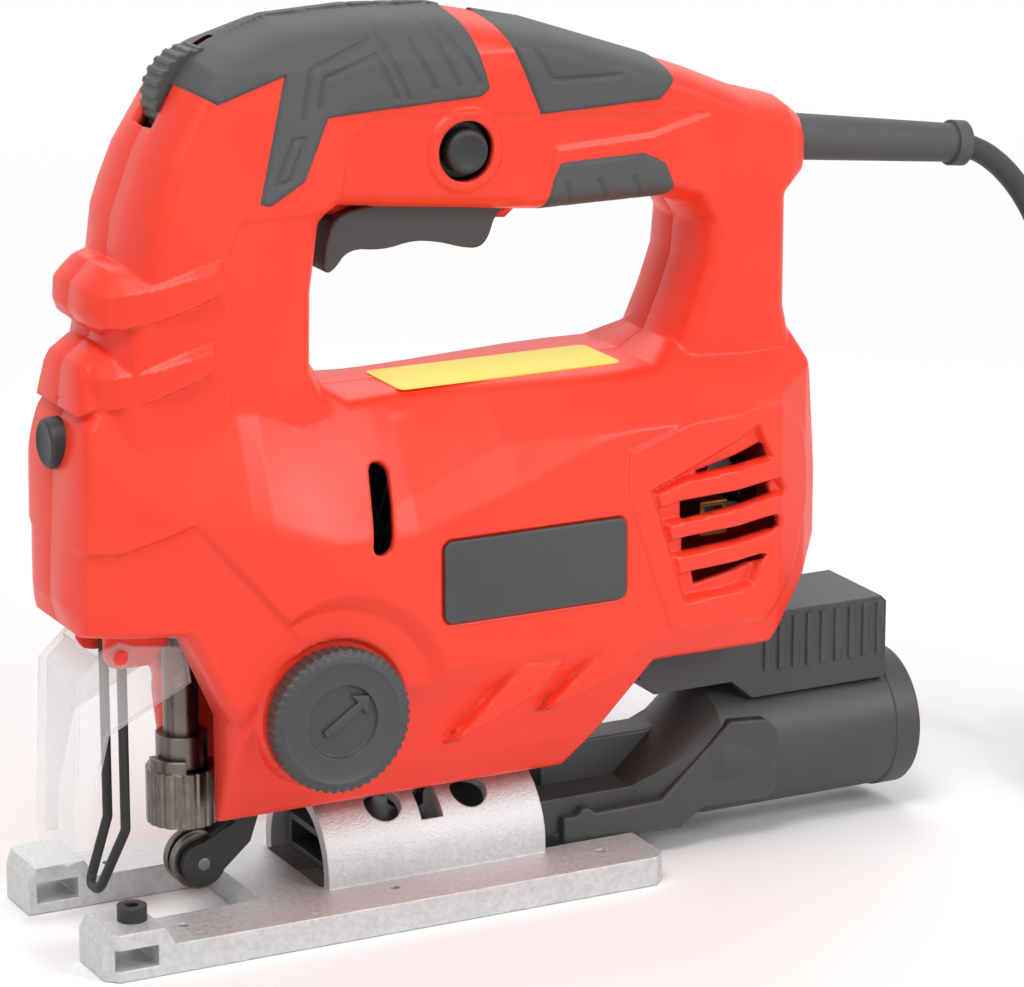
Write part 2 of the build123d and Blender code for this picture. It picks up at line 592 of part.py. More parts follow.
with BuildPart() as supports:
    # Ribs round the field, and one behind the gear case plate
    for x in FIELD_RIBS:
        with BuildSketch(cross(x)):
            with Locations((0, MOTOR_AXIS_Z)):
                Rectangle(BASE_WIDTH, 2 * FIELD_RADIUS + 14)
                Circle(FIELD_RADIUS, mode=Mode.SUBTRACT)
        extrude(amount=RIB_THICKNESS)
    with BuildSketch(cross(CASE_RIB_X)):
        with Locations((0, MOTOR_AXIS_Z)):
            Rectangle(BASE_WIDTH, 44)
            Rectangle(38, 50, mode=Mode.SUBTRACT)
    extrude(amount=RIB_THICKNESS)
    # Brush rib and rear bearing rib
    with BuildSketch(cross(BRUSH_X - RIB_THICKNESS / 2)):
        with Locations((0, MOTOR_AXIS_Z)):
            Rectangle(BASE_WIDTH, 70)
            Circle(COMMUTATOR_RADIUS + 3, mode=Mode.SUBTRACT)
            Rectangle(2 * HOLDER_END, 2 * HOLDER_HALF_HEIGHT, mode=Mode.SUBTRACT)
    extrude(amount=RIB_THICKNESS)
    with BuildSketch(cross(REAR_BEARING_FRONT)):
        with Locations((0, MOTOR_AXIS_Z)):
            Rectangle(BASE_WIDTH, 70)
            Circle(BEARING_RADIUS, mode=Mode.SUBTRACT)
    extrude(amount=BEARING_WIDTH)
    # Wall that closes the plunger well
    with BuildSketch(cross(WELL_END)):
        with Locations((0, (SKIRT_FLOOR_Z + WELL_WALL_TOP) / 2)):
            Rectangle(BASE_WIDTH, WELL_WALL_TOP - SKIRT_FLOOR_Z)
    extrude(amount=RIB_THICKNESS)
    # Ribs that carry the switch, and the shelf under the cord clamp
    for x in SWITCH_RIBS:
        with BuildSketch(cross(x)):
            with Locations((0, SWITCH_FLOOR_Z + SWITCH_HEIGHT / 2)):
                Rectangle(2 * HANDLE_HALF_WIDTH, 2 * SWITCH_HEIGHT)
                Rectangle(
                    2 * SWITCH_HALF_WIDTH, SWITCH_HEIGHT + 2 * BOARD_THICKNESS, mode=Mode.SUBTRACT
                )
        extrude(amount=RIB_THICKNESS)
    with BuildSketch(cross(CORD_CLAMP_X)):
        with Locations((0, (HAND_TOP_Z + CORD_SHELF_Z) / 2)):
            Rectangle(2 * HANDLE_HALF_WIDTH, CORD_SHELF_Z - HAND_TOP_Z)
    extrude(amount=CORD_CLAMP_LENGTH)
    # Screw bosses, and the bosses for the dial and the trigger's pivot
    with BuildSketch(side(0)):
        with Locations(*SCREW_PLACES, (TRIGGER_PIVOT_X, TRIGGER_PIVOT_Z), (DIAL_X, DIAL_Z)):
            Circle(BOSS_RADIUS)
    extrude(amount=BASE_WIDTH, both=True)
    with BuildSketch(level(SKIRT_FLOOR_Z)):
        with Locations((ARCH_MIDDLE, 0)):
            Circle(TILT_BOLT_RADIUS + WALL)
    extrude(amount=TILT_BOLT_LENGTH)
    add(outer_form, mode=Mode.INTERSECT)

with BuildPart() as bands:
    # Two raised bands round the front of the column, hollow inside
    for shift, z in BAND_PLACES:
        plan = twice([(x + shift, w) for x, w in BAND_PLAN], False)
        with BuildSketch(level(z).rotated((0, -BAND_RISE, 0))):
            add(outline(plan))
        extrude(amount=BAND_HEIGHT)
    add(cavity, mode=Mode.SUBTRACT)

with BuildPart() as fins:
    # Two gussets on each side, from the body down to the skid
    with BuildSketch(side(0)):
        for points in FIN_SIDES:
            add(outline(points))
    extrude(amount=FIN_REACH, both=True)
    add(cavity, mode=Mode.SUBTRACT)

with BuildPart() as lugs:
    # Lugs of the chip guard on both sides, with their pivots
    with BuildSketch(side(GUARD_LUG_THICKNESS - LUG_Y)):
        add(outline(GUARD_LUG_SIDE))
    extrude(amount=GUARD_LUG_THICKNESS)
    with BuildSketch(side(-LUG_Y)):
        with Locations((GUARD_PIVOT_X, GUARD_PIVOT_Z)):
            Circle(GUARD_PIVOT_RADIUS)
    extrude(amount=GUARD_WALL + MOVING_GAP + 0.4)
    mirror(about=Plane.XZ)

with BuildPart() as openings:
    # Plunger well, open to the front and below, and the sockets of the wire guard
    with BuildSketch(level(0)):
        with Locations(((WELL_START + WELL_END) / 2, 0)):
            Rectangle(WELL_END - WELL_START, 2 * WELL_HALF_WIDTH)
        with Locations((WIRE_X, -WIRE_HALF_SPACING), (WIRE_X, WIRE_HALF_SPACING)):
            Circle(WIRE_RADIUS)
    extrude(amount=NOSE_FLOOR_Z + WALL + 2)
    # Hole of the tilt bolt
    with BuildSketch(level(0)):
        with Locations((ARCH_MIDDLE, 0)):
            Circle(TILT_BOLT_RADIUS)
    extrude(amount=SKIRT_FLOOR_Z + TILT_BOLT_LENGTH)
    # Slots of the dial and the trigger, with the bores of their stubs
    with BuildSketch(side(0)):
        with Locations((DIAL_X, DIAL_Z)):
            Circle(DIAL_RADIUS + SLIDE_GAP)
    extrude(amount=DIAL_WIDTH / 2 + SLIDE_GAP, both=True)
    with BuildSketch(side(0)):
        with Locations((DIAL_X, DIAL_Z)):
            Circle(DIAL_STUB_RADIUS + RUNNING_GAP)
    extrude(amount=DIAL_WIDTH / 2 + DIAL_STUB + SLIDE_GAP, both=True)
    with BuildSketch(side(0)):
        with Locations(((TRIGGER_SLOT_FRONT + TRIGGER_SLOT_END) / 2, HAND_TOP_Z + 1)):
            Rectangle(TRIGGER_SLOT_END - TRIGGER_SLOT_FRONT, 18)
    extrude(amount=TRIGGER_HALF_WIDTH + SLIDE_GAP, both=True)
    with BuildSketch(side(0)):
        with Locations((TRIGGER_PIVOT_X, TRIGGER_PIVOT_Z)):
            Circle(TRIGGER_PIVOT_RADIUS + RUNNING_GAP)
    extrude(amount=TRIGGER_HALF_WIDTH + TRIGGER_STUB + SLIDE_GAP, both=True)
    # Holes of the light button and the strain relief
    with BuildSketch(cross(0)):
        with Locations((0, LIGHT_Z)):
            Circle(LIGHT_RADIUS + GUIDE_GAP)
    extrude(amount=LIGHT_FLANGE_X)
    with BuildSketch(lead_plane(-RELIEF_FLANGE_BACK - 1)):
        Circle(RELIEF_FLANGE_RADIUS)
    extrude(amount=RELIEF_FLANGE_THICKNESS + 1)
    with BuildSketch(lead_plane(-RELIEF_FLANGE_BACK)):
        Circle(RELIEF_ROOT_RADIUS + RUNNING_GAP)
    extrude(amount=RELIEF_FLANGE_BACK + WALL)
    # Vents at the rear, the slots ahead of the badges and the badge pockets
    for start in (-VENT_START_Y, BASE_WIDTH):
        with BuildSketch(side(start)):
            with Locations(VENT_PLACE):
                with GridLocations(0, VENT_PITCH, 1, VENT_COUNT):
                    Rectangle(VENT_LENGTH, VENT_HEIGHT, rotation=VENT_SLANT)
            with Locations(SIDE_SLOT_PLACE):
                SlotOverall(SIDE_SLOT_LENGTH, SIDE_SLOT_WIDTH, rotation=82)
        extrude(amount=BASE_WIDTH - VENT_START_Y)
    with BuildSketch(side(BADGE_RECESS - BODY_HALF_WIDTH)):
        with Locations(BADGE_PLACE):
            Rectangle(BADGE_LENGTH, BADGE_HEIGHT)
    extrude(amount=BADGE_THICKNESS)
    with BuildSketch(side(BODY_HALF_WIDTH + BADGE_THICKNESS - BADGE_RECESS)):
        with Locations(BADGE_PLACE):
            Rectangle(BADGE_LENGTH, BADGE_HEIGHT)
    extrude(amount=BADGE_THICKNESS)

grip_cuts = {}
for name, points in (("front_grip", FRONT_GRIP), ("rear_grip", REAR_GRIP), ("under_grip", UNDER_GRIP)):
    with BuildPart() as grip_cut:
        with BuildSketch(side(0)):
            add(outline(points))
        extrude(amount=BASE_WIDTH, both=True)
        add(grip_floor, mode=Mode.SUBTRACT)
    grip_cuts[name] = max(grip_cut.part.solids(), key=lambda solid: solid.volume)

with BuildPart() as casing:
    add(outer_form)
    add(cavity, mode=Mode.SUBTRACT)
    add(supports.part)
    add(bands.part)
    add(fins.part)
    add(lugs.part)
    add(openings.part, mode=Mode.SUBTRACT)
    add(list(grip_cuts.values()), mode=Mode.SUBTRACT)

with BuildPart() as housing_left:
    add(casing.part)
    split(bisect_by=Plane.XZ, keep=Keep.TOP)
    # Seat of the orbit knob and the raised ring round the lock button
    with BuildSketch(side(-KNOB_SEAT_Y)):
        with Locations((KNOB_X, KNOB_Z)):
            Circle(KNOB_RADIUS + 1.4)
    extrude(amount=BASE_WIDTH, mode=Mode.SUBTRACT)
    with BuildSketch(side(KNOB_SEAT_DEPTH - KNOB_SEAT_Y)):
        with Locations((KNOB_X, KNOB_Z)):
            Circle(KNOB_RADIUS + 0.6)
    extrude(amount=KNOB_SEAT_DEPTH)
    with BuildSketch(side(WALL - HANDLE_HALF_WIDTH)):
        with Locations((LOCK_X, LOCK_Z)):
            Circle(LOCK_RING_RADIUS)
    extrude(amount=WALL + LOCK_RING_RISE)
    with BuildSketch(side(0)):
        with Locations((KNOB_X, KNOB_Z)):
            Circle(KNOB_STEM_RADIUS + GUIDE_GAP)
        with Locations((LOCK_X, LOCK_Z)):
            Circle(LOCK_RADIUS + GUIDE_GAP)
    extrude(amount=BASE_WIDTH, mode=Mode.SUBTRACT)
    # Pilot holes of the screws
    with BuildSketch(side(0)):
        with Locations(*SCREW_PLACES):
            Circle(SCREW_RADIUS)
    extrude(amount=SCREW_REACH + 1, mode=Mode.SUBTRACT)
save(housing_left, "housing_left")

with BuildPart() as housing_right:
    add(casing.part)
    split(bisect_by=Plane.XZ, keep=Keep.BOTTOM)
    # Deep holes of the screws, each with a seat for the head
    with BuildSketch(side(SCREW_SEAT_Y)):
        with Locations(*SCREW_PLACES):
            Circle(SCREW_RADIUS + GUIDE_GAP)
    extrude(amount=SCREW_SEAT_Y, mode=Mode.SUBTRACT)
    with BuildSketch(side(BASE_WIDTH)):
        with Locations(*SCREW_PLACES):
            Circle(SCREW_HEAD_RADIUS + GUIDE_GAP)
    extrude(amount=BASE_WIDTH - SCREW_SEAT_Y, mode=Mode.SUBTRACT)
save(housing_right, "housing_right")

with BuildPart() as housing_screws:
    with BuildSketch(side(SCREW_SEAT_Y)):
        with Locations(*SCREW_PLACES):
            Circle(SCREW_RADIUS)
    extrude(amount=SCREW_SEAT_Y + SCREW_REACH)
    with BuildSketch(side(SCREW_SEAT_Y + SCREW_HEAD_HEIGHT)):
        with Locations(*SCREW_PLACES):
            Circle(SCREW_HEAD_RADIUS)
            Rectangle(4.2, 0.9, mode=Mode.SUBTRACT)
            Rectangle(0.9, 4.2, mode=Mode.SUBTRACT)
    extrude(amount=SCREW_HEAD_HEIGHT)
save(housing_screws, "housing_screws")

# Soft grips fill their pockets, on both halves
for name, grip_cut in grip_cuts.items():
    for half, keep in (("left", Keep.TOP), ("right", Keep.BOTTOM)):
        with BuildPart() as grip:
            add(outer_form)
            add(grip_cut, mode=Mode.INTERSECT)
            add(openings.part, mode=Mode.SUBTRACT)
            split(bisect_by=Plane.XZ, keep=keep)
        save(grip, f"{name}_{half}")

# Bare badge plates and a plain sticker on the floor of the hand gap
for half, start in (("left", BADGE_RECESS - BODY_HALF_WIDTH), ("right", BODY_HALF_WIDTH + BADGE_PROUD)):
    with BuildPart() as badge:
        with BuildSketch(side(start)):
            with Locations(BADGE_PLACE):
                Rectangle(BADGE_LENGTH - 2 * GUIDE_GAP, BADGE_HEIGHT - 2 * GUIDE_GAP)
        extrude(amount=BADGE_THICKNESS)
    save(badge, f"badge_{half}")

with BuildPart() as info_label:
    with BuildSketch(level(HAND_FLOOR_Z)):
        with Locations(LABEL_PLACE):
            RectangleRounded(LABEL_LENGTH, LABEL_WIDTH, 2)
    extrude(amount=LABEL_THICKNESS)
save(info_label, "info_label")

# Base plate with its prongs, fence slots and arch
with BuildPart() as base_plate:
    with BuildSketch(level(0)) as plate:
        with Locations((BASE_LENGTH / 2, 0)):
            Rectangle(BASE_LENGTH, BASE_WIDTH)
        chamfer(plate.vertices(), BASE_CORNER)
        with Locations((BLADE_SLOT_LENGTH / 2, 0)):
            Rectangle(BLADE_SLOT_LENGTH, BLADE_SLOT_WIDTH, mode=Mode.SUBTRACT)
        with Locations(((BRIDGE_END + BASE_LENGTH) / 2, 0)):
            Rectangle(BASE_LENGTH - BRIDGE_END, DUCT_GAP_WIDTH, mode=Mode.SUBTRACT)
    extrude(amount=BLOCK_TOP)
    with BuildSketch(side(0)):
        add(outline(PLATE_SIDE))
    extrude(amount=BASE_WIDTH, both=True, mode=Mode.INTERSECT)
    with BuildSketch(cross(ARCH_FRONT)):
        with Locations((0, TILT_AXIS_Z)):
            Circle(ARCH_RADIUS)
            Circle(ARCH_INSIDE, mode=Mode.SUBTRACT)
        with Locations((0, BASE_THICKNESS - ARCH_RADIUS)):
            Rectangle(4 * ARCH_RADIUS, 2 * ARCH_RADIUS, mode=Mode.SUBTRACT)
    extrude(amount=ARCH_LENGTH)
    # Arc slot of the tilt bolt and the round holes beside it
    with BuildSketch(cross(ARCH_MIDDLE - TILT_BOLT_RADIUS - SLIDE_GAP)):
        with Locations((0, TILT_AXIS_Z)):
            add(outline(sector(ARCH_RADIUS, TILT_SLOT_HALF_ANGLE, 90)))
    extrude(amount=2 * (TILT_BOLT_RADIUS + SLIDE_GAP), mode=Mode.SUBTRACT)
    for lean in (-ARCH_HOLE_ANGLE, ARCH_HOLE_ANGLE):
        outward = (0, math.sin(math.radians(lean)), math.cos(math.radians(lean)))
        for x in ARCH_HOLES:
            with BuildSketch(Plane(origin=(FRONT + x, 0, TILT_AXIS_Z), x_dir=(1, 0, 0), z_dir=outward)):
                Circle(ARCH_HOLE_RADIUS)
            extrude(amount=ARCH_RADIUS + ARCH_WALL, mode=Mode.SUBTRACT)
    # Fence slots, the screw's hole above one of them and the small holes in the flange
    with BuildSketch(side(0)):
        with Locations((FENCE_SLOT_X, FENCE_SLOT_FLOOR + FENCE_SLOT_HEIGHT / 2)):
            Rectangle(FENCE_SLOT_WIDTH, FENCE_SLOT_HEIGHT)
    extrude(amount=BASE_WIDTH, both=True, mode=Mode.SUBTRACT)
    with BuildSketch(level(FENCE_SLOT_TOP - 0.5)):
        with Locations((FENCE_SCREW_X, -PRONG_MIDDLE_Y)):
            Circle(FENCE_SCREW_RADIUS)
    extrude(amount=BLOCK_TOP, mode=Mode.SUBTRACT)
    with BuildSketch(level(0)):
        with Locations(*[(x, s * SMALL_HOLE_Y) for x in SMALL_HOLES for s in (-1, 1)]):
            Circle(SMALL_HOLE_RADIUS)
    extrude(amount=BASE_THICKNESS, mode=Mode.SUBTRACT)
save(base_plate, "base_plate")

with BuildPart() as fence_screw:
    with BuildSketch(level(FENCE_SLOT_TOP + SLIDE_GAP)):
        with Locations((FENCE_SCREW_X, -PRONG_MIDDLE_Y)):
            Circle(FENCE_SCREW_RADIUS)
    extrude(amount=BLOCK_TOP - FENCE_SLOT_TOP - SLIDE_GAP)
    with BuildSketch(level(BLOCK_TOP)):
        with Locations((FENCE_SCREW_X, -PRONG_MIDDLE_Y)):
            Circle(FENCE_SCREW_HEAD_RADIUS)
    extrude(amount=FENCE_SCREW_HEAD_HEIGHT)
    with BuildSketch(level(BLOCK_TOP + FENCE_SCREW_HEAD_HEIGHT / 2)):
        with Locations((FENCE_SCREW_X, -PRONG_MIDDLE_Y)):
            RegularPolygon(FENCE_SCREW_HEAD_RADIUS / 2, 6)
    extrude(amount=FENCE_SCREW_HEAD_HEIGHT, mode=Mode.SUBTRACT)
save(fence_screw, "fence_screw")

with BuildPart() as tilt_washer:
    with BuildSketch(level(TILT_WASHER_TOP - TILT_WASHER_THICKNESS)):
        with Locations((ARCH_MIDDLE, 0)):
            Circle(TILT_WASHER_RADIUS)
            Circle(TILT_BOLT_RADIUS + GUIDE_GAP, mode=Mode.SUBTRACT)
    extrude(amount=TILT_WASHER_THICKNESS)
save(tilt_washer, "tilt_washer")

with BuildPart() as tilt_bolt:
    with BuildSketch(level(TILT_HEAD_TOP - TILT_BOLT_HEAD_HEIGHT)):
        with Locations((ARCH_MIDDLE, 0)):
            Circle(TILT_BOLT_HEAD_RADIUS)
    extrude(amount=TILT_BOLT_HEAD_HEIGHT)
    with BuildSketch(level(TILT_HEAD_TOP)):
        with Locations((ARCH_MIDDLE, 0)):
            Circle(TILT_BOLT_RADIUS)
    extrude(amount=SKIRT_FLOOR_Z + TILT_BOLT_LENGTH - 1 - TILT_HEAD_TOP)
    with BuildSketch(level(TILT_HEAD_TOP - TILT_BOLT_HEAD_HEIGHT)):
        with Locations((ARCH_MIDDLE, 0)):
            RegularPolygon(TILT_BOLT_HEAD_RADIUS / 2, 6)
    extrude(amount=TILT_BOLT_HEAD_HEIGHT / 2, mode=Mode.SUBTRACT)
save(tilt_bolt, "tilt_bolt")

# Motor: field, armature, brushes, fan and bearings
with BuildPart() as field_core:
    with BuildSketch(cross(FIELD_FRONT)):
        with Locations((0, MOTOR_AXIS_Z)):
            Circle(FIELD_RADIUS)
            Circle(FIELD_RADIUS - FIELD_BACK_WALL, mode=Mode.SUBTRACT)
    extrude(amount=FIELD_LENGTH)
    for middle in (90, 270):
        with BuildSketch(cross(FIELD_FRONT)):
            with Locations((0, MOTOR_AXIS_Z)):
                Circle(FIELD_RADIUS - FIELD_BACK_WALL / 2)
                add(outline(sector(FIELD_RADIUS, POLE_HALF_ANGLE, middle)), mode=Mode.INTERSECT)
                Circle(ARMATURE_RADIUS + AIR_GAP, mode=Mode.SUBTRACT)
        extrude(amount=FIELD_LENGTH)
save(field_core, "field_core")

with BuildPart() as field_coils:
    for middle in (90, 270):
        with BuildSketch(cross(FIELD_FRONT - COIL_OVERHANG)):
            with Locations((0, MOTOR_AXIS_Z)):
                Circle(FIELD_RADIUS - FIELD_BACK_WALL)
                add(outline(sector(FIELD_RADIUS, COIL_HALF_ANGLE, middle)), mode=Mode.INTERSECT)
                Circle(ARMATURE_RADIUS + 2 * AIR_GAP, mode=Mode.SUBTRACT)
        extrude(amount=FIELD_LENGTH + 2 * COIL_OVERHANG)
        with BuildSketch(cross(FIELD_FRONT - GUIDE_GAP)):
            with Locations((0, MOTOR_AXIS_Z)):
                add(outline(sector(FIELD_RADIUS, POLE_HALF_ANGLE + 0.5, middle)))
        extrude(amount=FIELD_LENGTH + 2 * GUIDE_GAP, mode=Mode.SUBTRACT)
save(field_coils, "field_coils")

with BuildPart() as armature_shaft:
    with BuildSketch(cross(GEAR_FRONT - 1)):
        with Locations((0, MOTOR_AXIS_Z)):
            add(outline(involute(PINION_TEETH, PINION_TIP, PINION_ROOT, 90)))
    extrude(amount=GEAR_WIDTH + 2)
    with BuildSketch(cross(GEAR_FRONT + GEAR_WIDTH + 1)):
        with Locations((0, MOTOR_AXIS_Z)):
            Circle(SHAFT_RADIUS)
    extrude(amount=REAR_BEARING_FRONT + BEARING_WIDTH + 1 - GEAR_FRONT - GEAR_WIDTH)
save(armature_shaft, "armature_shaft")

with BuildPart() as armature_core:
    with BuildSketch(cross(FIELD_FRONT)):
        with Locations((0, MOTOR_AXIS_Z)):
            Circle(ARMATURE_RADIUS)
            Circle(SHAFT_RADIUS, mode=Mode.SUBTRACT)
            with PolarLocations(ARMATURE_RADIUS, 12):
                Rectangle(6, 2.2, mode=Mode.SUBTRACT)
    extrude(amount=FIELD_LENGTH)
save(armature_core, "armature_core")

with BuildPart() as armature_windings:
    for start in (FIELD_FRONT - WINDING_OVERHANG, FIELD_FRONT + FIELD_LENGTH):
        with BuildSketch(cross(start)):
            with Locations((0, MOTOR_AXIS_Z)):
                Circle(WINDING_RADIUS)
                Circle(SHAFT_RADIUS, mode=Mode.SUBTRACT)
        extrude(amount=WINDING_OVERHANG)
save(armature_windings, "armature_windings")

with BuildPart() as commutator:
    with BuildSketch(cross(COMMUTATOR_FRONT)):
        with Locations((0, MOTOR_AXIS_Z)):
            Circle(COMMUTATOR_RADIUS)
            Circle(SHAFT_RADIUS, mode=Mode.SUBTRACT)
    extrude(amount=COMMUTATOR_LENGTH)
save(commutator, "commutator")

with BuildPart() as cooling_fan:
    with BuildSketch(cross(FAN_FRONT)):
        with Locations((0, MOTOR_AXIS_Z)):
            Circle(SHAFT_RADIUS + WALL)
            with PolarLocations((SHAFT_RADIUS + FAN_RADIUS) / 2, FAN_BLADES):
                Rectangle(FAN_RADIUS - SHAFT_RADIUS - 2, 1.4)
            Circle(SHAFT_RADIUS, mode=Mode.SUBTRACT)
    extrude(amount=FAN_LENGTH)
    with BuildSketch(cross(FAN_FRONT + FAN_LENGTH - FAN_PLATE)):
        with Locations((0, MOTOR_AXIS_Z)):
            Circle(FAN_RADIUS)
            Circle(SHAFT_RADIUS, mode=Mode.SUBTRACT)
    extrude(amount=FAN_PLATE)
save(cooling_fan, "cooling_fan")

with BuildPart() as shaft_bearings:
    for start in (FRONT_BEARING_FRONT, REAR_BEARING_FRONT):
        with BuildSketch(cross(start)):
            with Locations((0, MOTOR_AXIS_Z)):
                Circle(BEARING_RADIUS)
                Circle(SHAFT_RADIUS + RUNNING_GAP, mode=Mode.SUBTRACT)
        extrude(amount=BEARING_WIDTH)
save(shaft_bearings, "shaft_bearings")

with BuildPart() as carbon_brushes:
    with BuildSketch(side(-COMMUTATOR_RADIUS - MOVING_GAP)):
        with Locations((BRUSH_X, MOTOR_AXIS_Z)):
            Rectangle(BRUSH_WIDTH, BRUSH_HEIGHT)
    extrude(amount=BRUSH_LENGTH)
    mirror(about=Plane.XZ)
save(carbon_brushes, "carbon_brushes")

with BuildPart() as brush_holders:
    with BuildSketch(side(-HOLDER_START)):
        with Locations((BRUSH_X, MOTOR_AXIS_Z)):
            Rectangle(2 * HOLDER_HALF_WIDTH, 2 * HOLDER_HALF_HEIGHT)
            Rectangle(BRUSH_WIDTH, BRUSH_HEIGHT, mode=Mode.SUBTRACT)
    extrude(amount=BRUSH_HOLDER_LENGTH)
    mirror(about=Plane.XZ)
save(brush_holders, "brush_holders")

# Gear case with the plunger's bush seats, the front bearing seat and the lever's lugs
with BuildPart() as gear_case:
    with BuildSketch(cross(CASE_PLATE_FRONT)):
        add(outline(CASE_PLATE))
    extrude(amount=CASE_PLATE_THICKNESS)
    with BuildSketch(cross(CASE_PLATE_FRONT)):
        with Locations((0, MOTOR_AXIS_Z)):
            Circle(BEARING_RADIUS + WALL)
    extrude(amount=FRONT_BEARING_FRONT + BEARING_WIDTH - CASE_PLATE_FRONT)
    for z in (LOWER_BUSH_Z, UPPER_BUSH_Z):
        with BuildSketch(level(z + BUSH_LENGTH / 2 - CASE_ARM / 2)):
            with Locations(((PLUNGER_X + CASE_PLATE_FRONT) / 2, 0)):
                Rectangle(CASE_PLATE_FRONT - PLUNGER_X, 2 * (BUSH_RADIUS + WALL))
        extrude(amount=CASE_ARM)
        with BuildSketch(level(z)):
            with Locations((PLUNGER_X, 0)):
                Circle(BUSH_RADIUS + 2)
        extrude(amount=BUSH_LENGTH)
    with BuildSketch(side(-LEVER_HALF_WIDTH - MOVING_GAP)):
        add(outline(LUG_SIDE))
    extrude(amount=LUG_THICKNESS)
    with BuildSketch(side(LEVER_HALF_WIDTH + MOVING_GAP + LUG_THICKNESS)):
        add(outline(LUG_SIDE))
    extrude(amount=LUG_THICKNESS)
    # Bores of the bushes, the shaft, the front bearing, the gear axle and the lever pin
    with BuildSketch(level(0)):
        with Locations((PLUNGER_X, 0)):
            Circle(BUSH_RADIUS)
    extrude(amount=2 * HAND_FLOOR_Z, mode=Mode.SUBTRACT)
    with BuildSketch(cross(FRONT_BEARING_FRONT)):
        with Locations((0, MOTOR_AXIS_Z)):
            Circle(BEARING_RADIUS)
    extrude(amount=BEARING_WIDTH, mode=Mode.SUBTRACT)
    with BuildSketch(cross(CASE_PLATE_FRONT - 1)):
        with Locations((0, MOTOR_AXIS_Z)):
            Circle(SHAFT_RADIUS + 1)
        with Locations((0, GEAR_AXIS_Z)):
            Circle(GEAR_AXLE_RADIUS)
    extrude(amount=CASE_PLATE_THICKNESS + 1, mode=Mode.SUBTRACT)
    with BuildSketch(side(0)):
        with Locations((LEVER_PIVOT_X, LEVER_PIVOT_Z)):
            Circle(LEVER_PIN_RADIUS)
    extrude(amount=BASE_WIDTH, both=True, mode=Mode.SUBTRACT)
save(gear_case, "gear_case")

with BuildPart() as plunger_bushes:
    for z in (LOWER_BUSH_Z, UPPER_BUSH_Z):
        with BuildSketch(level(z)):
            with Locations((PLUNGER_X, 0)):
                Circle(BUSH_RADIUS)
                Circle(PLUNGER_RADIUS + RUNNING_GAP, mode=Mode.SUBTRACT)
        extrude(amount=BUSH_LENGTH)
save(plunger_bushes, "plunger_bushes")

with BuildPart() as gear_axle:
    with BuildSketch(cross(GEAR_FRONT - 0.5)):
        with Locations((0, GEAR_AXIS_Z)):
            Circle(GEAR_AXLE_RADIUS)
    extrude(amount=CASE_PLATE_FRONT + CASE_PLATE_THICKNESS + 0.5 - GEAR_FRONT)
save(gear_axle, "gear_axle")

with BuildPart() as drive_gear:
    with BuildSketch(cross(GEAR_FRONT)):
        with Locations((0, GEAR_AXIS_Z)):
            add(outline(involute(GEAR_TEETH, GEAR_TIP, GEAR_ROOT, 270 + 180 / GEAR_TEETH)))
    extrude(amount=GEAR_WIDTH)
    with BuildSketch(cross(GEAR_FRONT + GEAR_WIDTH)):
        with Locations((0, GEAR_AXIS_Z)):
            Circle(GEAR_AXLE_RADIUS + WALL)
    extrude(amount=CASE_PLATE_FRONT - MOVING_GAP - GEAR_FRONT - GEAR_WIDTH)
    with BuildSketch(cross(GEAR_FRONT)):
        with Locations((0, GEAR_AXIS_Z)):
            Circle(GEAR_AXLE_RADIUS + RUNNING_GAP)
    extrude(amount=CASE_PLATE_FRONT - GEAR_FRONT, mode=Mode.SUBTRACT)
save(drive_gear, "drive_gear")

with BuildPart() as crank_pin:
    with BuildSketch(cross(YOKE_FRONT + YOKE_THICKNESS + MOVING_GAP)):
        with Locations((0, CRANK_Z)):
            Circle(CRANK_PIN_RADIUS)
    extrude(amount=GEAR_FRONT - YOKE_FRONT - YOKE_THICKNESS - MOVING_GAP)
save(crank_pin, "crank_pin")

# Plunger at the bottom of its stroke, with its yoke and blade clamp
with BuildPart() as plunger:
    with BuildSketch(level(PLUNGER_BOTTOM)):
        with Locations((PLUNGER_X, 0)):
            Circle(PLUNGER_RADIUS)
    extrude(amount=PLUNGER_TOP - PLUNGER_BOTTOM)
    with BuildSketch(level(PLUNGER_BOTTOM)):
        with Locations((PLUNGER_X, 0)):
            Rectangle(BLADE_SHANK_WIDTH, BLADE_SHANK_THICKNESS)
    extrude(amount=BLADE_SLOT_DEPTH, mode=Mode.SUBTRACT)
save(plunger, "plunger")

with BuildPart() as plunger_yoke:
    with BuildSketch(cross(YOKE_FRONT)):
        with Locations((0, CRANK_Z)):
            Rectangle(2 * YOKE_HALF_WIDTH, 2 * YOKE_HALF_HEIGHT)
            SlotOverall(2 * (CRANK_RADIUS + CRANK_PIN_RADIUS + SLIDE_GAP), 2 * (CRANK_PIN_RADIUS + SLIDE_GAP),
                        mode=Mode.SUBTRACT)
    extrude(amount=YOKE_THICKNESS)
    with BuildSketch(level(CRANK_Z - YOKE_HALF_HEIGHT)):
        with Locations((PLUNGER_X, 0)):
            Circle(PLUNGER_RADIUS + WALL)
    extrude(amount=2 * YOKE_HALF_HEIGHT)
    for z in (CRANK_Z - YOKE_HALF_HEIGHT, CRANK_Z + YOKE_HALF_HEIGHT - WALL):
        with BuildSketch(level(z)):
            with Locations(((PLUNGER_X + YOKE_FRONT) / 2, 0)):
                Rectangle(YOKE_FRONT - PLUNGER_X, 2 * PLUNGER_RADIUS)
        extrude(amount=WALL)
    with BuildSketch(level(CRANK_Z - YOKE_HALF_HEIGHT)):
        with Locations((PLUNGER_X, 0)):
            Circle(PLUNGER_RADIUS)
    extrude(amount=2 * YOKE_HALF_HEIGHT, mode=Mode.SUBTRACT)
save(plunger_yoke, "plunger_yoke")

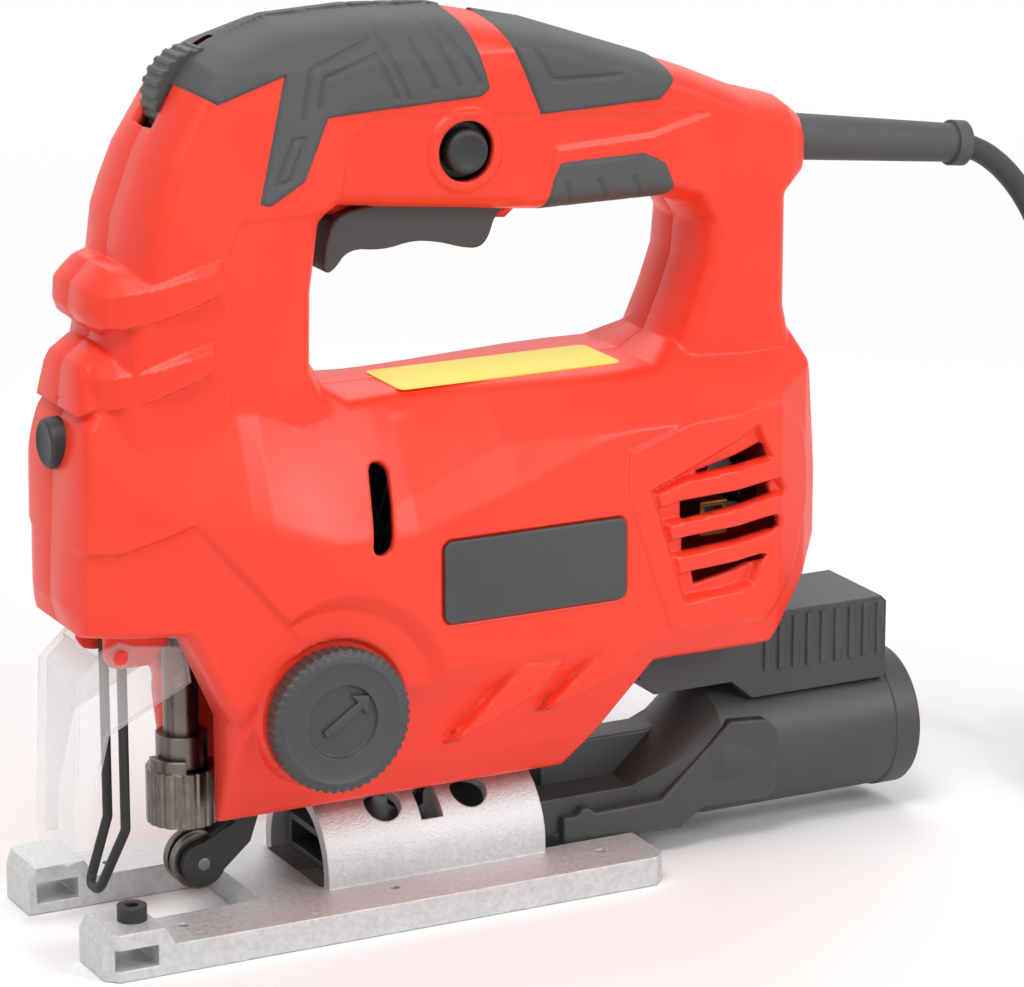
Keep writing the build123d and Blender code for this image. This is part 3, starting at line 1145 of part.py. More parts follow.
with BuildPart() as blade_clamp_ring:
    with BuildSketch(level(CLAMP_BOTTOM)):
        with Locations((PLUNGER_X, 0)):
            Circle(CLAMP_RADIUS)
            with PolarLocations(CLAMP_RADIUS + 0.4, 20):
                Circle(0.7, mode=Mode.SUBTRACT)
            Circle(PLUNGER_RADIUS + RUNNING_GAP, mode=Mode.SUBTRACT)
    extrude(amount=CLAMP_HEIGHT)
    with BuildSketch(level(CLAMP_BOTTOM + CLAMP_HEIGHT)):
        with Locations((PLUNGER_X, 0)):
            Circle(CLAMP_RADIUS - 0.6)
            add(outline(sector(CLAMP_RADIUS, 40, 215)), mode=Mode.INTERSECT)
            Circle(COLLAR_RADIUS + MOVING_GAP, mode=Mode.SUBTRACT)
    extrude(amount=CLAMP_TAB_HEIGHT)
save(blade_clamp_ring, "blade_clamp_ring")

with BuildPart() as blade_clamp_collar:
    with BuildSketch(level(CLAMP_BOTTOM + CLAMP_HEIGHT + MOVING_GAP)):
        with Locations((PLUNGER_X, 0)):
            Circle(COLLAR_RADIUS)
            Circle(PLUNGER_RADIUS, mode=Mode.SUBTRACT)
    extrude(amount=COLLAR_HEIGHT)
save(blade_clamp_collar, "blade_clamp_collar")

# Pendulum lever with its grooved roller
with BuildPart() as roller_lever:
    with BuildSketch(side(0)):
        add(outline(LEVER_SIDE))
        with Locations((ROLLER_X, ROLLER_Z)):
            Circle(ROLLER_RADIUS - 1.6)
    extrude(amount=LEVER_HALF_WIDTH, both=True)
    with BuildSketch(side(0)):
        with Locations((LEVER_PIVOT_X, LEVER_WEB_Z - BASE_WIDTH / 2)):
            Rectangle(BASE_WIDTH, BASE_WIDTH)
    extrude(amount=ROLLER_WIDTH / 2 + MOVING_GAP, both=True, mode=Mode.SUBTRACT)
    with BuildSketch(side(0)):
        with Locations((LEVER_PIVOT_X, LEVER_PIVOT_Z)):
            Circle(LEVER_PIN_RADIUS + RUNNING_GAP)
        with Locations((ROLLER_X, ROLLER_Z)):
            Circle(ROLLER_PIN_RADIUS)
    extrude(amount=BASE_WIDTH, both=True, mode=Mode.SUBTRACT)
save(roller_lever, "roller_lever")

with BuildPart() as roller_pin:
    with BuildSketch(side(LEVER_HALF_WIDTH)):
        with Locations((ROLLER_X, ROLLER_Z)):
            Circle(ROLLER_PIN_RADIUS)
    extrude(amount=2 * LEVER_HALF_WIDTH)
save(roller_pin, "roller_pin")

with BuildPart() as guide_roller:
    with BuildSketch(side(ROLLER_WIDTH / 2)):
        with Locations((ROLLER_X, ROLLER_Z)):
            Circle(ROLLER_RADIUS)
    extrude(amount=ROLLER_WIDTH)
    with BuildSketch(side(BLADE_SHANK_THICKNESS / 2)):
        with Locations((ROLLER_X, ROLLER_Z)):
            Circle(ROLLER_RADIUS + 1)
            Circle(ROLLER_RADIUS - 1.2, mode=Mode.SUBTRACT)
    extrude(amount=BLADE_SHANK_THICKNESS, mode=Mode.SUBTRACT)
    with BuildSketch(side(ROLLER_WIDTH / 2)):
        with Locations((ROLLER_X, ROLLER_Z)):
            Circle(ROLLER_PIN_RADIUS + RUNNING_GAP)
    extrude(amount=ROLLER_WIDTH, mode=Mode.SUBTRACT)
save(guide_roller, "guide_roller")

with BuildPart() as lever_pin:
    with BuildSketch(side(LEVER_HALF_WIDTH + MOVING_GAP + LUG_THICKNESS)):
        with Locations((LEVER_PIVOT_X, LEVER_PIVOT_Z)):
            Circle(LEVER_PIN_RADIUS)
    extrude(amount=2 * (LEVER_HALF_WIDTH + MOVING_GAP + LUG_THICKNESS))
save(lever_pin, "lever_pin")

# Clear chip guard: a front pane with two wings, and the bent wire behind it
with BuildPart() as chip_guard:
    with BuildSketch(side(0)):
        add(outline(GUARD_SIDE))
    extrude(amount=GUARD_HALF_WIDTH, both=True)
    with BuildSketch(side(0)):
        add(outline(GUARD_INSIDE))
    extrude(amount=GUARD_HALF_WIDTH - GUARD_WALL, both=True, mode=Mode.SUBTRACT)
    for s in (-1, 1):
        with BuildSketch(cross(0)):
            add(outline([(s * y, z) for y, z in GUARD_CORNER]))
        extrude(amount=BLOCK_LENGTH, mode=Mode.SUBTRACT)
    with BuildSketch(side(0)):
        with Locations((GUARD_PIVOT_X, GUARD_PIVOT_Z)):
            Circle(GUARD_PIVOT_RADIUS + RUNNING_GAP)
    extrude(amount=BASE_WIDTH, both=True, mode=Mode.SUBTRACT)
save(chip_guard, "chip_guard")

with BuildPart() as wire_guard:
    with BuildLine() as wire_path:
        FilletPolyline(*from_front(WIRE_ROUTE), radius=WIRE_BEND)
    with BuildSketch(Plane(wire_path.line @ 0, z_dir=wire_path.line % 0)):
        Circle(WIRE_RADIUS)
    sweep()
save(wire_guard, "wire_guard")

# Controls
with BuildPart() as trigger:
    with BuildSketch(side(0)):
        add(outline(TRIGGER_SIDE))
    extrude(amount=TRIGGER_HALF_WIDTH, both=True)
    with BuildSketch(side(0)):
        with Locations((TRIGGER_PIVOT_X, TRIGGER_PIVOT_Z)):
            Circle(TRIGGER_PIVOT_RADIUS)
    extrude(amount=TRIGGER_HALF_WIDTH + TRIGGER_STUB, both=True)
save(trigger, "trigger")

with BuildPart() as lock_button:
    with BuildSketch(side(LOCK_FLANGE_Y)):
        with Locations((LOCK_X, LOCK_Z)):
            Circle(LOCK_RADIUS + 1.4)
    extrude(amount=BUTTON_FLANGE)
    with BuildSketch(side(LOCK_FLANGE_Y - BUTTON_FLANGE)):
        with Locations((LOCK_X, LOCK_Z)):
            Circle(LOCK_RADIUS)
    extrude(amount=WALL + LOCK_RING_RISE + 1)
save(lock_button, "lock_button")

with BuildPart() as light_button:
    with BuildSketch(cross(LIGHT_FACE)):
        with Locations((0, LIGHT_Z)):
            Circle(LIGHT_RADIUS)
    extrude(amount=LIGHT_FLANGE_X - LIGHT_FACE)
    with BuildSketch(cross(LIGHT_FLANGE_X)):
        with Locations((0, LIGHT_Z)):
            Circle(LIGHT_RADIUS + 1.2)
    extrude(amount=BUTTON_FLANGE)
save(light_button, "light_button")

with BuildPart() as speed_dial:
    with BuildSketch(side(DIAL_WIDTH / 2)):
        with Locations((DIAL_X, DIAL_Z)):
            Circle(DIAL_RADIUS)
            with PolarLocations(DIAL_RADIUS + 0.3, DIAL_NOTCHES):
                Circle(0.9, mode=Mode.SUBTRACT)
    extrude(amount=DIAL_WIDTH)
    with BuildSketch(side(0)):
        with Locations((DIAL_X, DIAL_Z)):
            Circle(DIAL_STUB_RADIUS)
    extrude(amount=DIAL_WIDTH / 2 + DIAL_STUB, both=True)
save(speed_dial, "speed_dial")

with BuildPart() as orbit_knob:
    with BuildSketch(side(-KNOB_SEAT_Y - SLIDE_GAP)):
        with Locations((KNOB_X, KNOB_Z)):
            Circle(KNOB_RADIUS)
    extrude(amount=KNOB_THICKNESS)
    chamfer(orbit_knob.faces().sort_by(Axis.Y)[0].edges(), KNOB_EDGE)
    with BuildSketch(side(-KNOB_SEAT_Y - SLIDE_GAP - KNOB_THICKNESS + KNOB_DISH)):
        with Locations((KNOB_X, KNOB_Z)):
            Circle(KNOB_RADIUS - 2 * KNOB_EDGE)
            Rectangle(2.6 * CAM_RADIUS, CAM_RADIUS, rotation=-35, mode=Mode.SUBTRACT)
    extrude(amount=KNOB_DISH, mode=Mode.SUBTRACT)
    with BuildSketch(side(-KNOB_STEM_END)):
        with Locations((KNOB_X, KNOB_Z)):
            Circle(KNOB_STEM_RADIUS)
    extrude(amount=KNOB_SEAT_Y + SLIDE_GAP - KNOB_STEM_END)
save(orbit_knob, "orbit_knob")

with BuildPart() as orbit_shaft:
    with BuildSketch(side(LEVER_HALF_WIDTH)):
        with Locations((KNOB_X, KNOB_Z)):
            Circle(ORBIT_SHAFT_RADIUS)
    extrude(amount=LEVER_HALF_WIDTH + KNOB_STEM_END)
    with BuildSketch(side(LEVER_HALF_WIDTH)):
        with Locations((KNOB_X - CAM_OFFSET, KNOB_Z)):
            Circle(CAM_RADIUS)
    extrude(amount=2 * LEVER_HALF_WIDTH)
save(orbit_shaft, "orbit_shaft")

# Switch, board and lead inside the handle
with BuildPart() as switch_body:
    with BuildSketch(level(SWITCH_FLOOR_Z)):
        with Locations((SWITCH_FRONT + SWITCH_LENGTH / 2, 0)):
            Rectangle(SWITCH_LENGTH, 2 * SWITCH_HALF_WIDTH)
    extrude(amount=SWITCH_HEIGHT)
save(switch_body, "switch_body")

with BuildPart() as speed_board:
    with BuildSketch(level(SWITCH_FLOOR_Z + SWITCH_HEIGHT)):
        with Locations((SWITCH_FRONT + SWITCH_LENGTH / 2, 0)):
            Rectangle(SWITCH_LENGTH - 2, 2 * SWITCH_HALF_WIDTH - 1)
    extrude(amount=BOARD_THICKNESS)
save(speed_board, "speed_board")

with BuildPart() as cord_clamp:
    with BuildSketch(level(CORD_SHELF_Z)):
        with Locations((CORD_CLAMP_X + CORD_CLAMP_LENGTH / 2, 0)):
            Rectangle(CORD_CLAMP_LENGTH, 16)
    extrude(amount=10)
    with BuildSketch(lead_plane(-RELIEF_FLANGE_BACK - LEAD_INSIDE_LENGTH)):
        Circle(LEAD_RADIUS)
    extrude(amount=LEAD_INSIDE_LENGTH, mode=Mode.SUBTRACT)
save(cord_clamp, "cord_clamp")

with BuildPart() as inner_lead:
    with BuildSketch(lead_plane(-RELIEF_FLANGE_BACK - LEAD_INSIDE_LENGTH)):
        Circle(LEAD_RADIUS)
    extrude(amount=LEAD_INSIDE_LENGTH)
save(inner_lead, "inner_lead")

with BuildPart() as strain_relief:
    with BuildSketch(lead_plane(-RELIEF_FLANGE_BACK)):
        Circle(RELIEF_FLANGE_RADIUS)
    extrude(amount=RELIEF_FLANGE_THICKNESS)
    with BuildSketch(lead_plane(RELIEF_FLANGE_THICKNESS - RELIEF_FLANGE_BACK)):
        Circle(RELIEF_ROOT_RADIUS)
    with BuildSketch(lead_plane(RELIEF_LENGTH)):
        Circle(RELIEF_TIP_RADIUS)
    loft()
    with BuildSketch(lead_plane(RELIEF_LENGTH)):
        Circle(RELIEF_COLLAR_RADIUS)
    extrude(amount=RELIEF_COLLAR_LENGTH)
    with BuildSketch(lead_plane(RELIEF_LENGTH + RELIEF_COLLAR_LENGTH - RELIEF_MOUTH_DEPTH)):
        Circle(RELIEF_MOUTH_RADIUS)
    extrude(amount=RELIEF_MOUTH_DEPTH, mode=Mode.SUBTRACT)
save(strain_relief, "strain_relief")

# Dust adapter: a flat duct under the arch, a round port and an arm under the motor
with BuildPart() as dust_adapter:
    for wall, keep in ((0, Mode.ADD), (DUCT_WALL, Mode.SUBTRACT)):
        radius = PORT_BORE_RADIUS if wall else PORT_RADIUS
        with BuildSketch(cross(DUCT_FRONT)):
            with Locations((0, (DUCT_BOTTOM + DUCT_TOP) / 2)):
                Rectangle(2 * (DUCT_HALF_WIDTH - wall), DUCT_TOP - DUCT_BOTTOM - 2 * wall)
        extrude(amount=DUCT_END - DUCT_FRONT, mode=keep)
        with BuildSketch(cross(DUCT_END)):
            with Locations((0, (DUCT_BOTTOM + DUCT_TOP) / 2)):
                Rectangle(2 * (DUCT_HALF_WIDTH - wall), DUCT_TOP - DUCT_BOTTOM - 2 * wall)
        with BuildSketch(cross(PORT_FRONT)):
            with Locations((0, PORT_AXIS_Z)):
                Circle(radius)
        loft(mode=keep)
        with BuildSketch(cross(PORT_FRONT)):
            with Locations((0, PORT_AXIS_Z)):
                Circle(radius)
        extrude(amount=OVERALL_LENGTH - PORT_FRONT, mode=keep)
    with BuildSketch(side(0)):
        add(outline(ARM_SIDE))
    extrude(amount=BOX_HALF_WIDTH, both=True)
    with BuildSketch(side(0)):
        with Locations(((BOX_FRONT + BOX_END) / 2 + 1, (ARM_BOTTOM + BOX_TOP) / 2)):
            with GridLocations((BOX_END - BOX_FRONT - 6) / (BOX_RIBS - 1), 0, BOX_RIBS, 1):
                Rectangle(1.8, BOX_TOP - ARM_BOTTOM - 3)
    extrude(amount=BOX_HALF_WIDTH + BOX_RIB_RISE, both=True)
    with BuildSketch(cross(PORT_FRONT)):
        with Locations((0, PORT_AXIS_Z)):
            Circle(PORT_BORE_RADIUS)
    extrude(amount=OVERALL_LENGTH - PORT_FRONT, mode=Mode.SUBTRACT)
save(dust_adapter, "dust_adapter")

# Mains cord: a free stretch down to the floor, a coil with its tie, and a plug on the coil
for name, route in (("power_cord", CORD_ROUTE), ("plug_lead", LEAD_ROUTE)):
    points = from_front(route)
    radii = bend_radii(points)
    with BuildPart() as cord:
        with BuildLine() as cord_path:
            FilletPolyline(*points, radius=radii)
        with BuildSketch(Plane(cord_path.line @ 0, z_dir=cord_path.line % 0)):
            Circle(CORD_RADIUS)
        sweep()
    length = sum(edge.length for edge in cord_path.line.edges())
    print(name, "bend radii", [round(radius, 1) for radius in radii], "length", round(length, 1))
    print(name, "volume over section times length", round(cord.part.volume / length / math.pi / CORD_RADIUS**2, 4))
    save(cord, name)

coil_points = []
with BuildPart() as cord_coil:
    with BuildLine() as coil_path:
        x, z, way = COIL_X - COIL_START_RADIUS, COIL_FLOOR_Z, 1
        Line(*from_front([(x, COIL_Y + 2 * CORD_RADIUS, z), (x, COIL_Y, z)]))
        for turn in range(COIL_HALF_TURNS):
            step = turn % 8
            radius = COIL_START_RADIUS - COIL_STEP * min(step, 6 - step)
            rise = 0
            if step == 3:
                radius, rise = COIL_INNER_CLIMB, COIL_RISE
            if step == 7:
                radius, rise = COIL_OUTER_CLIMB, COIL_RISE
            bulge = math.hypot(radius, rise / 2)
            ends = [(x, COIL_Y, z), (x + way * radius, COIL_Y - way * bulge, z + rise / 2)]
            ends.append((x + 2 * way * radius, COIL_Y, z + rise))
            arc = ThreePointArc(*from_front(ends))
            coil_points += [arc @ (k / 24) for k in range(24)]
            x, z, way = x + 2 * way * radius, z + rise, -way
        Line(*from_front([(x, COIL_Y, z), (x, COIL_Y - way * 2 * CORD_RADIUS, z)]))
    with BuildSketch(Plane(coil_path.line @ 0, z_dir=coil_path.line % 0)):
        Circle(CORD_RADIUS)
    sweep()
coil_length = sum(edge.length for edge in coil_path.line.edges())
near = min(
    (coil_points[i] - coil_points[j]).length
    for i in range(len(coil_points))
    for j in range(i + 16, len(coil_points))
)
print("cord_coil length", round(coil_length, 1), "least gap to itself", round(near - 2 * CORD_RADIUS, 2))
print("cord_coil volume ratio", round(cord_coil.part.volume / coil_length / math.pi / CORD_RADIUS**2, 4))
save(cord_coil, "cord_coil")

with BuildPart() as cord_tie:
    with BuildSketch(Plane(origin=(FRONT + COIL_X - TIE_WIDTH / 2, COIL_Y, 0), x_dir=(0, 1, 0), z_dir=(1, 0, 0))):
        with Locations((-(TIE_INSIDE + TIE_OUTSIDE) / 2, TIE_TOP / 2)):
            Rectangle(TIE_OUTSIDE - TIE_INSIDE + 2 * TIE_THICKNESS, TIE_TOP)
            Rectangle(TIE_OUTSIDE - TIE_INSIDE, TIE_TOP - 2 * TIE_THICKNESS, mode=Mode.SUBTRACT)
    extrude(amount=TIE_WIDTH)
save(cord_tie, "cord_tie")

with BuildPart() as plug_body:
    with BuildSketch(PLUG_BACK):
        RectangleRounded(PLUG_WIDTH * 0.55, PLUG_HEIGHT * 0.8, 4)
    with BuildSketch(PLUG_BACK.offset(PLUG_LENGTH * 0.6)):
        RectangleRounded(PLUG_WIDTH, PLUG_HEIGHT, 4)
    loft()
    with BuildSketch(PLUG_BACK.offset(PLUG_LENGTH * 0.6)):
        RectangleRounded(PLUG_WIDTH, PLUG_HEIGHT, 4)
    extrude(amount=PLUG_LENGTH * 0.4)
save(plug_body, "plug_body")

with BuildPart() as plug_pins:
    with BuildSketch(PLUG_BACK.offset(PLUG_LENGTH)):
        with GridLocations(PIN_SPACING, 0, 2, 1):
            Circle(PIN_RADIUS)
    extrude(amount=PIN_LENGTH)
save(plug_pins, "plug_pins")
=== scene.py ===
# %% [markdown]
# # A corded jigsaw with a closed handle
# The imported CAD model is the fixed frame: it says where every piece is and how it moves. Blender adds the looks:
# the moulded form of the casing, the grips, the cord and the finish of every surface. Lengths below are in
# millimetres, measured from the base plate's front edge, because that is how the tool was drawn.

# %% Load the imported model
import json
import math

import bmesh
import bpy
import numpy as np
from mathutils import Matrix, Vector

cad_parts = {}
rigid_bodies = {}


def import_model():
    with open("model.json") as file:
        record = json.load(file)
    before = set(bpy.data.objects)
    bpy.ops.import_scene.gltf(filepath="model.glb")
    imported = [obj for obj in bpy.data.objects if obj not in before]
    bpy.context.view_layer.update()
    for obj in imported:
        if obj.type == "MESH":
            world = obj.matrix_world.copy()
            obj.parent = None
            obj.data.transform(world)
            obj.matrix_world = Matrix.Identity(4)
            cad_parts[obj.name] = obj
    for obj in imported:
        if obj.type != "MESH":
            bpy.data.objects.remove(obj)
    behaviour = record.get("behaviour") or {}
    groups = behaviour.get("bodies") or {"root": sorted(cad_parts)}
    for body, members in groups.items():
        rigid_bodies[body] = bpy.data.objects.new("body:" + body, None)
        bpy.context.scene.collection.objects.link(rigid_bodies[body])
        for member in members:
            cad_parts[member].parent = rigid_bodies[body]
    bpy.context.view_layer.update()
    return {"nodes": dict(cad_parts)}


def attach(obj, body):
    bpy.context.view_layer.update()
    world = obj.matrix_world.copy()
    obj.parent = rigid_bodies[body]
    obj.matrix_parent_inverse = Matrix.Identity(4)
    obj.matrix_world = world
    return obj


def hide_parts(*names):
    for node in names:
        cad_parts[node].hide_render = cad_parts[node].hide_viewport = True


for stray in list(bpy.data.objects):
    bpy.data.objects.remove(stray)
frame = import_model()
nodes = frame["nodes"]
scene = bpy.context.scene
MM = 0.001
FRONT = -114.25


def at(x, y, z):
    """A point in metres, from millimetres behind the base plate's front edge."""
    return Vector(((x + FRONT) * MM, y * MM, z * MM))


# %% [markdown]
# ## The camera
# A product picture is taken with a long lens from a little above, so that the upright lines stay nearly parallel.
# The place, the aim and the lens were solved from the base plate's corners.

# %% Camera
CAMERA_PLACE = (-0.4703, -0.9343, 0.3869)
CAMERA_AIM = (0.00703, 0.0, 0.09337)
CAMERA_SENSOR, CAMERA_LENS, CAMERA_FAR = 36.0, 158.2, 20.0
camera = bpy.data.objects.new("camera", bpy.data.cameras.new("camera"))
scene.collection.objects.link(camera)
camera.data.sensor_width = CAMERA_SENSOR
camera.data.lens = CAMERA_LENS
camera.data.clip_end = CAMERA_FAR
camera.location = CAMERA_PLACE
camera.rotation_euler = (Vector(CAMERA_AIM) - Vector(CAMERA_PLACE)).to_track_quat("-Z", "Y").to_euler()
scene.camera = camera
print("camera distance", round((Vector(CAMERA_AIM) - Vector(CAMERA_PLACE)).length, 4))

# %% [markdown]
# ## The mains cord
# The cord leaves the sleeve behind the handle, hangs to the floor, and the length that the picture does not show
# lies in a tied coil with its plug on top. One NURBS curve follows the route's points. Its order is set after the
# points are added, because before that Blender would leave it as straight runs.

# %% Cord route
CORD_DIAMETER = 6.0
CORD_ROUTE = [
    (246.63, 0, 168.38), (252.3, 0, 166.4), (258.6, 0, 162.1), (264.3, 0, 156.3), (269.4, 0, 148.8),
    (274.1, 0, 139.3), (278.2, 0.2, 127.4), (281.4, 0.8, 112.6), (284, 2.6, 95), (286.4, 6, 78),
    (288, 10.4, 60), (288, 14, 44), (286, 14.2, 29.5), (283.4, 9.6, 17.6), (280, 0.4, 8.8), (276.4, -12, 4.2),
    (276.4, -24, 4.2),
]
LEAD_ROUTE = [
    (348.6, -24, 25.2), (348.6, -16, 25.2), (344.9, -7, 25.9), (338, -0.2, 27.5), (329.1, 3.5, 29.5),
    (319.4, 3.5, 31.7), (310.4, -0.2, 33.8), (303.6, -7.1, 35.8), (299.9, -16, 37), (299.9, -25.5, 37),
]
COIL_X, COIL_Y, COIL_FLOOR_Z = 315.0, -30.0, 4.2
COIL_START_RADIUS, COIL_STEP, COIL_RISE = 38.6, 3.6, 7.0
COIL_INNER_CLIMB, COIL_OUTER_CLIMB, COIL_HALF_TURNS = 28.9, 42.5, 13
POINTS_PER_HALF_TURN = 12


def coil_route():
    """The coil's half-turns: in and out in flat spirals, with a climb to the next layer at each end."""
    points, x, z, way = [], COIL_X - COIL_START_RADIUS, COIL_FLOOR_Z, 1
    for turn in range(COIL_HALF_TURNS):
        step = turn % 8
        radius, rise = COIL_START_RADIUS - COIL_STEP * min(step, 6 - step), 0.0
        if step == 3:
            radius, rise = COIL_INNER_CLIMB, COIL_RISE
        if step == 7:
            radius, rise = COIL_OUTER_CLIMB, COIL_RISE
        for k in range(POINTS_PER_HALF_TURN):
            angle = math.pi * k / POINTS_PER_HALF_TURN
            along = radius * (1 - math.cos(angle))
            climb = rise * (1 - math.cos(angle)) / 2
            points.append((x + way * along, COIL_Y - way * radius * math.sin(angle), z + climb))
        x, z, way = x + 2 * way * radius, z + rise, -way
    return points + [(x, COIL_Y, z)]


route = CORD_ROUTE + coil_route() + LEAD_ROUTE
print("cord route points:", len(route))

# %% Cord curve
curve = bpy.data.curves.new("mains_cord", "CURVE")
curve.dimensions = "3D"
curve.bevel_depth = 1.0
curve.bevel_resolution = 5
curve.resolution_u = 6
curve.use_fill_caps = True
spline = curve.splines.new("NURBS")
spline.points.add(len(route) - 1)
for point, place in zip(spline.points, route):
    point.co = (*at(*place), 1.0)
    point.radius = CORD_DIAMETER / 2 * MM
spline.order_u = 3
spline.use_endpoint_u = True
mains_cord = bpy.data.objects.new("mains_cord", curve)
scene.collection.objects.link(mains_cord)
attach(mains_cord, "housing")
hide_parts("power_cord", "cord_coil", "plug_lead")
print("cord made")

# %% [markdown]
# ## Floor, light and background
# A cut-out product picture has a white ground and large soft lights. The floor is a pale diffuse plane that keeps
# the contact shadow, and it fades out well away from the tool. The world is white to the camera, to mirrors and to
# clear plastic, and it has a plainer level for lighting, so that a colour renders about as it is written. The fill
# lamp stands where the body's chamfer mirrors it towards the camera, which makes that facet stand out.

# %% Floor
FLOOR_SIZE, FLOOR_DROP = 6.0, 0.0002
FLOOR_TONE, FLOOR_ROUGHNESS, FLOOR_SHINE = 0.97, 0.9, 0.1
FLOOR_FADE = (0.35, 0.95)
floor_mesh = bpy.data.meshes.new("floor")
half = FLOOR_SIZE / 2
floor_mesh.from_pydata([(-half, -half, 0), (half, -half, 0), (half, half, 0), (-half, half, 0)], [], [(0, 1, 2, 3)])
floor = bpy.data.objects.new("floor", floor_mesh)
floor.location.z = -FLOOR_DROP
scene.collection.objects.link(floor)
print("floor", FLOOR_SIZE, "m across")

# %% Floor material
pale = bpy.data.materials.new("pale_floor")
pale.use_nodes = True
tree = pale.node_tree
matt = tree.nodes["Principled BSDF"]
matt.inputs["Base Color"].default_value = (FLOOR_TONE, FLOOR_TONE, FLOOR_TONE, 1)
matt.inputs["Roughness"].default_value = FLOOR_ROUGHNESS
matt.inputs["Specular IOR Level"].default_value = FLOOR_SHINE
output = tree.nodes["Material Output"]
place = tree.nodes.new("ShaderNodeTexCoord")
away = tree.nodes.new("ShaderNodeVectorMath")
away.operation = "LENGTH"
fade = tree.nodes.new("ShaderNodeMapRange")
fade.interpolation_type = "SMOOTHSTEP"
fade.inputs["From Min"].default_value, fade.inputs["From Max"].default_value = FLOOR_FADE
bare = tree.nodes.new("ShaderNodeBsdfTransparent")
mixed = tree.nodes.new("ShaderNodeMixShader")
tree.links.new(place.outputs["Object"], away.inputs[0])
tree.links.new(away.outputs["Value"], fade.inputs["Value"])
tree.links.new(fade.outputs["Result"], mixed.inputs["Fac"])
tree.links.new(matt.outputs["BSDF"], mixed.inputs[1])
tree.links.new(bare.outputs["BSDF"], mixed.inputs[2])
tree.links.new(mixed.outputs["Shader"], output.inputs["Surface"])
floor_mesh.materials.append(pale)
print("floor fades between", FLOOR_FADE, "m")

# %% World
WORLD_LEVEL = 0.42
world = bpy.data.worlds.new("studio")
scene.world = world
world.use_nodes = True
sky = world.node_tree
background = sky.nodes["Background"]
ray = sky.nodes.new("ShaderNodeLightPath")
seen = sky.nodes.new("ShaderNodeMath")
seen.operation = "MAXIMUM"
sky.links.new(ray.outputs["Is Camera Ray"], seen.inputs[0])
sky.links.new(ray.outputs["Is Transmission Ray"], seen.inputs[1])
mirrored = sky.nodes.new("ShaderNodeMath")
mirrored.operation = "MAXIMUM"
sky.links.new(seen.outputs[0], mirrored.inputs[0])
sky.links.new(ray.outputs["Is Glossy Ray"], mirrored.inputs[1])
level = sky.nodes.new("ShaderNodeMapRange")
level.inputs["To Min"].default_value = WORLD_LEVEL
level.inputs["To Max"].default_value = 1.0
sky.links.new(mirrored.outputs[0], level.inputs["Value"])
sky.links.new(level.outputs["Result"], background.inputs["Strength"])
background.inputs["Color"].default_value = (1, 1, 1, 1)
print("world level", WORLD_LEVEL)

# %% Lamps
# Each lamp: its place, its size and its power
LAMP_AIM = (0, 0, 0.1)
LAMPS = {
    "key": ((-0.55, -0.55, 1.45), 0.7, 12.0),
    "fill": ((0.66, -1.12, 0.84), 0.45, 7.4),
    "rear": ((0.35, 0.9, 1.3), 1.0, 7.0),
}
for name, (place, size, power) in LAMPS.items():
    lamp = bpy.data.objects.new(name, bpy.data.lights.new(name, "AREA"))
    lamp.data.energy = power
    lamp.data.size = size
    lamp.location = place
    lamp.rotation_euler = (Vector(LAMP_AIM) - Vector(place)).to_track_quat("-Z", "Y").to_euler()
    scene.collection.objects.link(lamp)
scene.view_settings.view_transform = "Standard"
print("lamps", list(LAMPS))

# %% [markdown]
# ## Finishes that several materials share
# Moulded plastic, rubber and castings have a fine grain and a faint unevenness of tone. Their edges are painted paler,
# which is partly wear and partly a painted highlight along each rounded edge. Each effect is one node group with named
# sockets, so that a material only sets its own scale. The grain is read in object space, in metres, so it needs no
# unwrapping and keeps its size from piece to piece.

# %% Helpers for node groups
def new_group(name, inputs, outputs):
    """An empty shader group with float inputs, each with its usual value, and the named outputs."""
    group = bpy.data.node_groups.new(name, "ShaderNodeTree")
    for socket, value in inputs.items():
        made = group.interface.new_socket(socket, in_out="INPUT", socket_type="NodeSocketFloat")
        made.default_value = value
    for socket in outputs:
        kind = "NodeSocketVector" if socket == "Normal" else "NodeSocketFloat"
        group.interface.new_socket(socket, in_out="OUTPUT", socket_type=kind)
    return group, group.nodes.new("NodeGroupInput"), group.nodes.new("NodeGroupOutput")


def node(tree, kind, **values):
    """A node with its settings and unlinked inputs filled in."""
    made = tree.nodes.new(kind)
    for name, value in values.items():
        if name in made.inputs:
            made.inputs[name].default_value = value
        else:
            setattr(made, name, value)
    return made


def ramp(tree, source, low, high, to_low=0.0, to_high=1.0):
    """Stretches a value from one range to another and clips it."""
    made = node(tree, "ShaderNodeMapRange")
    for socket, value in (("From Min", low), ("From Max", high), ("To Min", to_low), ("To Max", to_high)):
        made.inputs[socket].default_value = value
    tree.links.new(source, made.inputs["Value"])
    return made.outputs["Result"]


print("node helpers ready")

# %% Grain group
grain, taken, given = new_group("surface_grain", {"Scale": 2400.0, "Patch": 38.0}, ["Height", "Mottle"])
place = node(grain, "ShaderNodeTexCoord")
fine = node(grain, "ShaderNodeTexNoise", Detail=3.0, Roughness=0.6)
broad = node(grain, "ShaderNodeTexNoise", Detail=2.0)
for noise, socket in ((fine, "Scale"), (broad, "Patch")):
    grain.links.new(place.outputs["Object"], noise.inputs["Vector"])
    grain.links.new(taken.outputs[socket], noise.inputs["Scale"])
grain.links.new(fine.outputs["Fac"], given.inputs["Height"])
grain.links.new(ramp(grain, broad.outputs["Fac"], 0.3, 0.7), given.inputs["Mottle"])
print("group", grain.name)
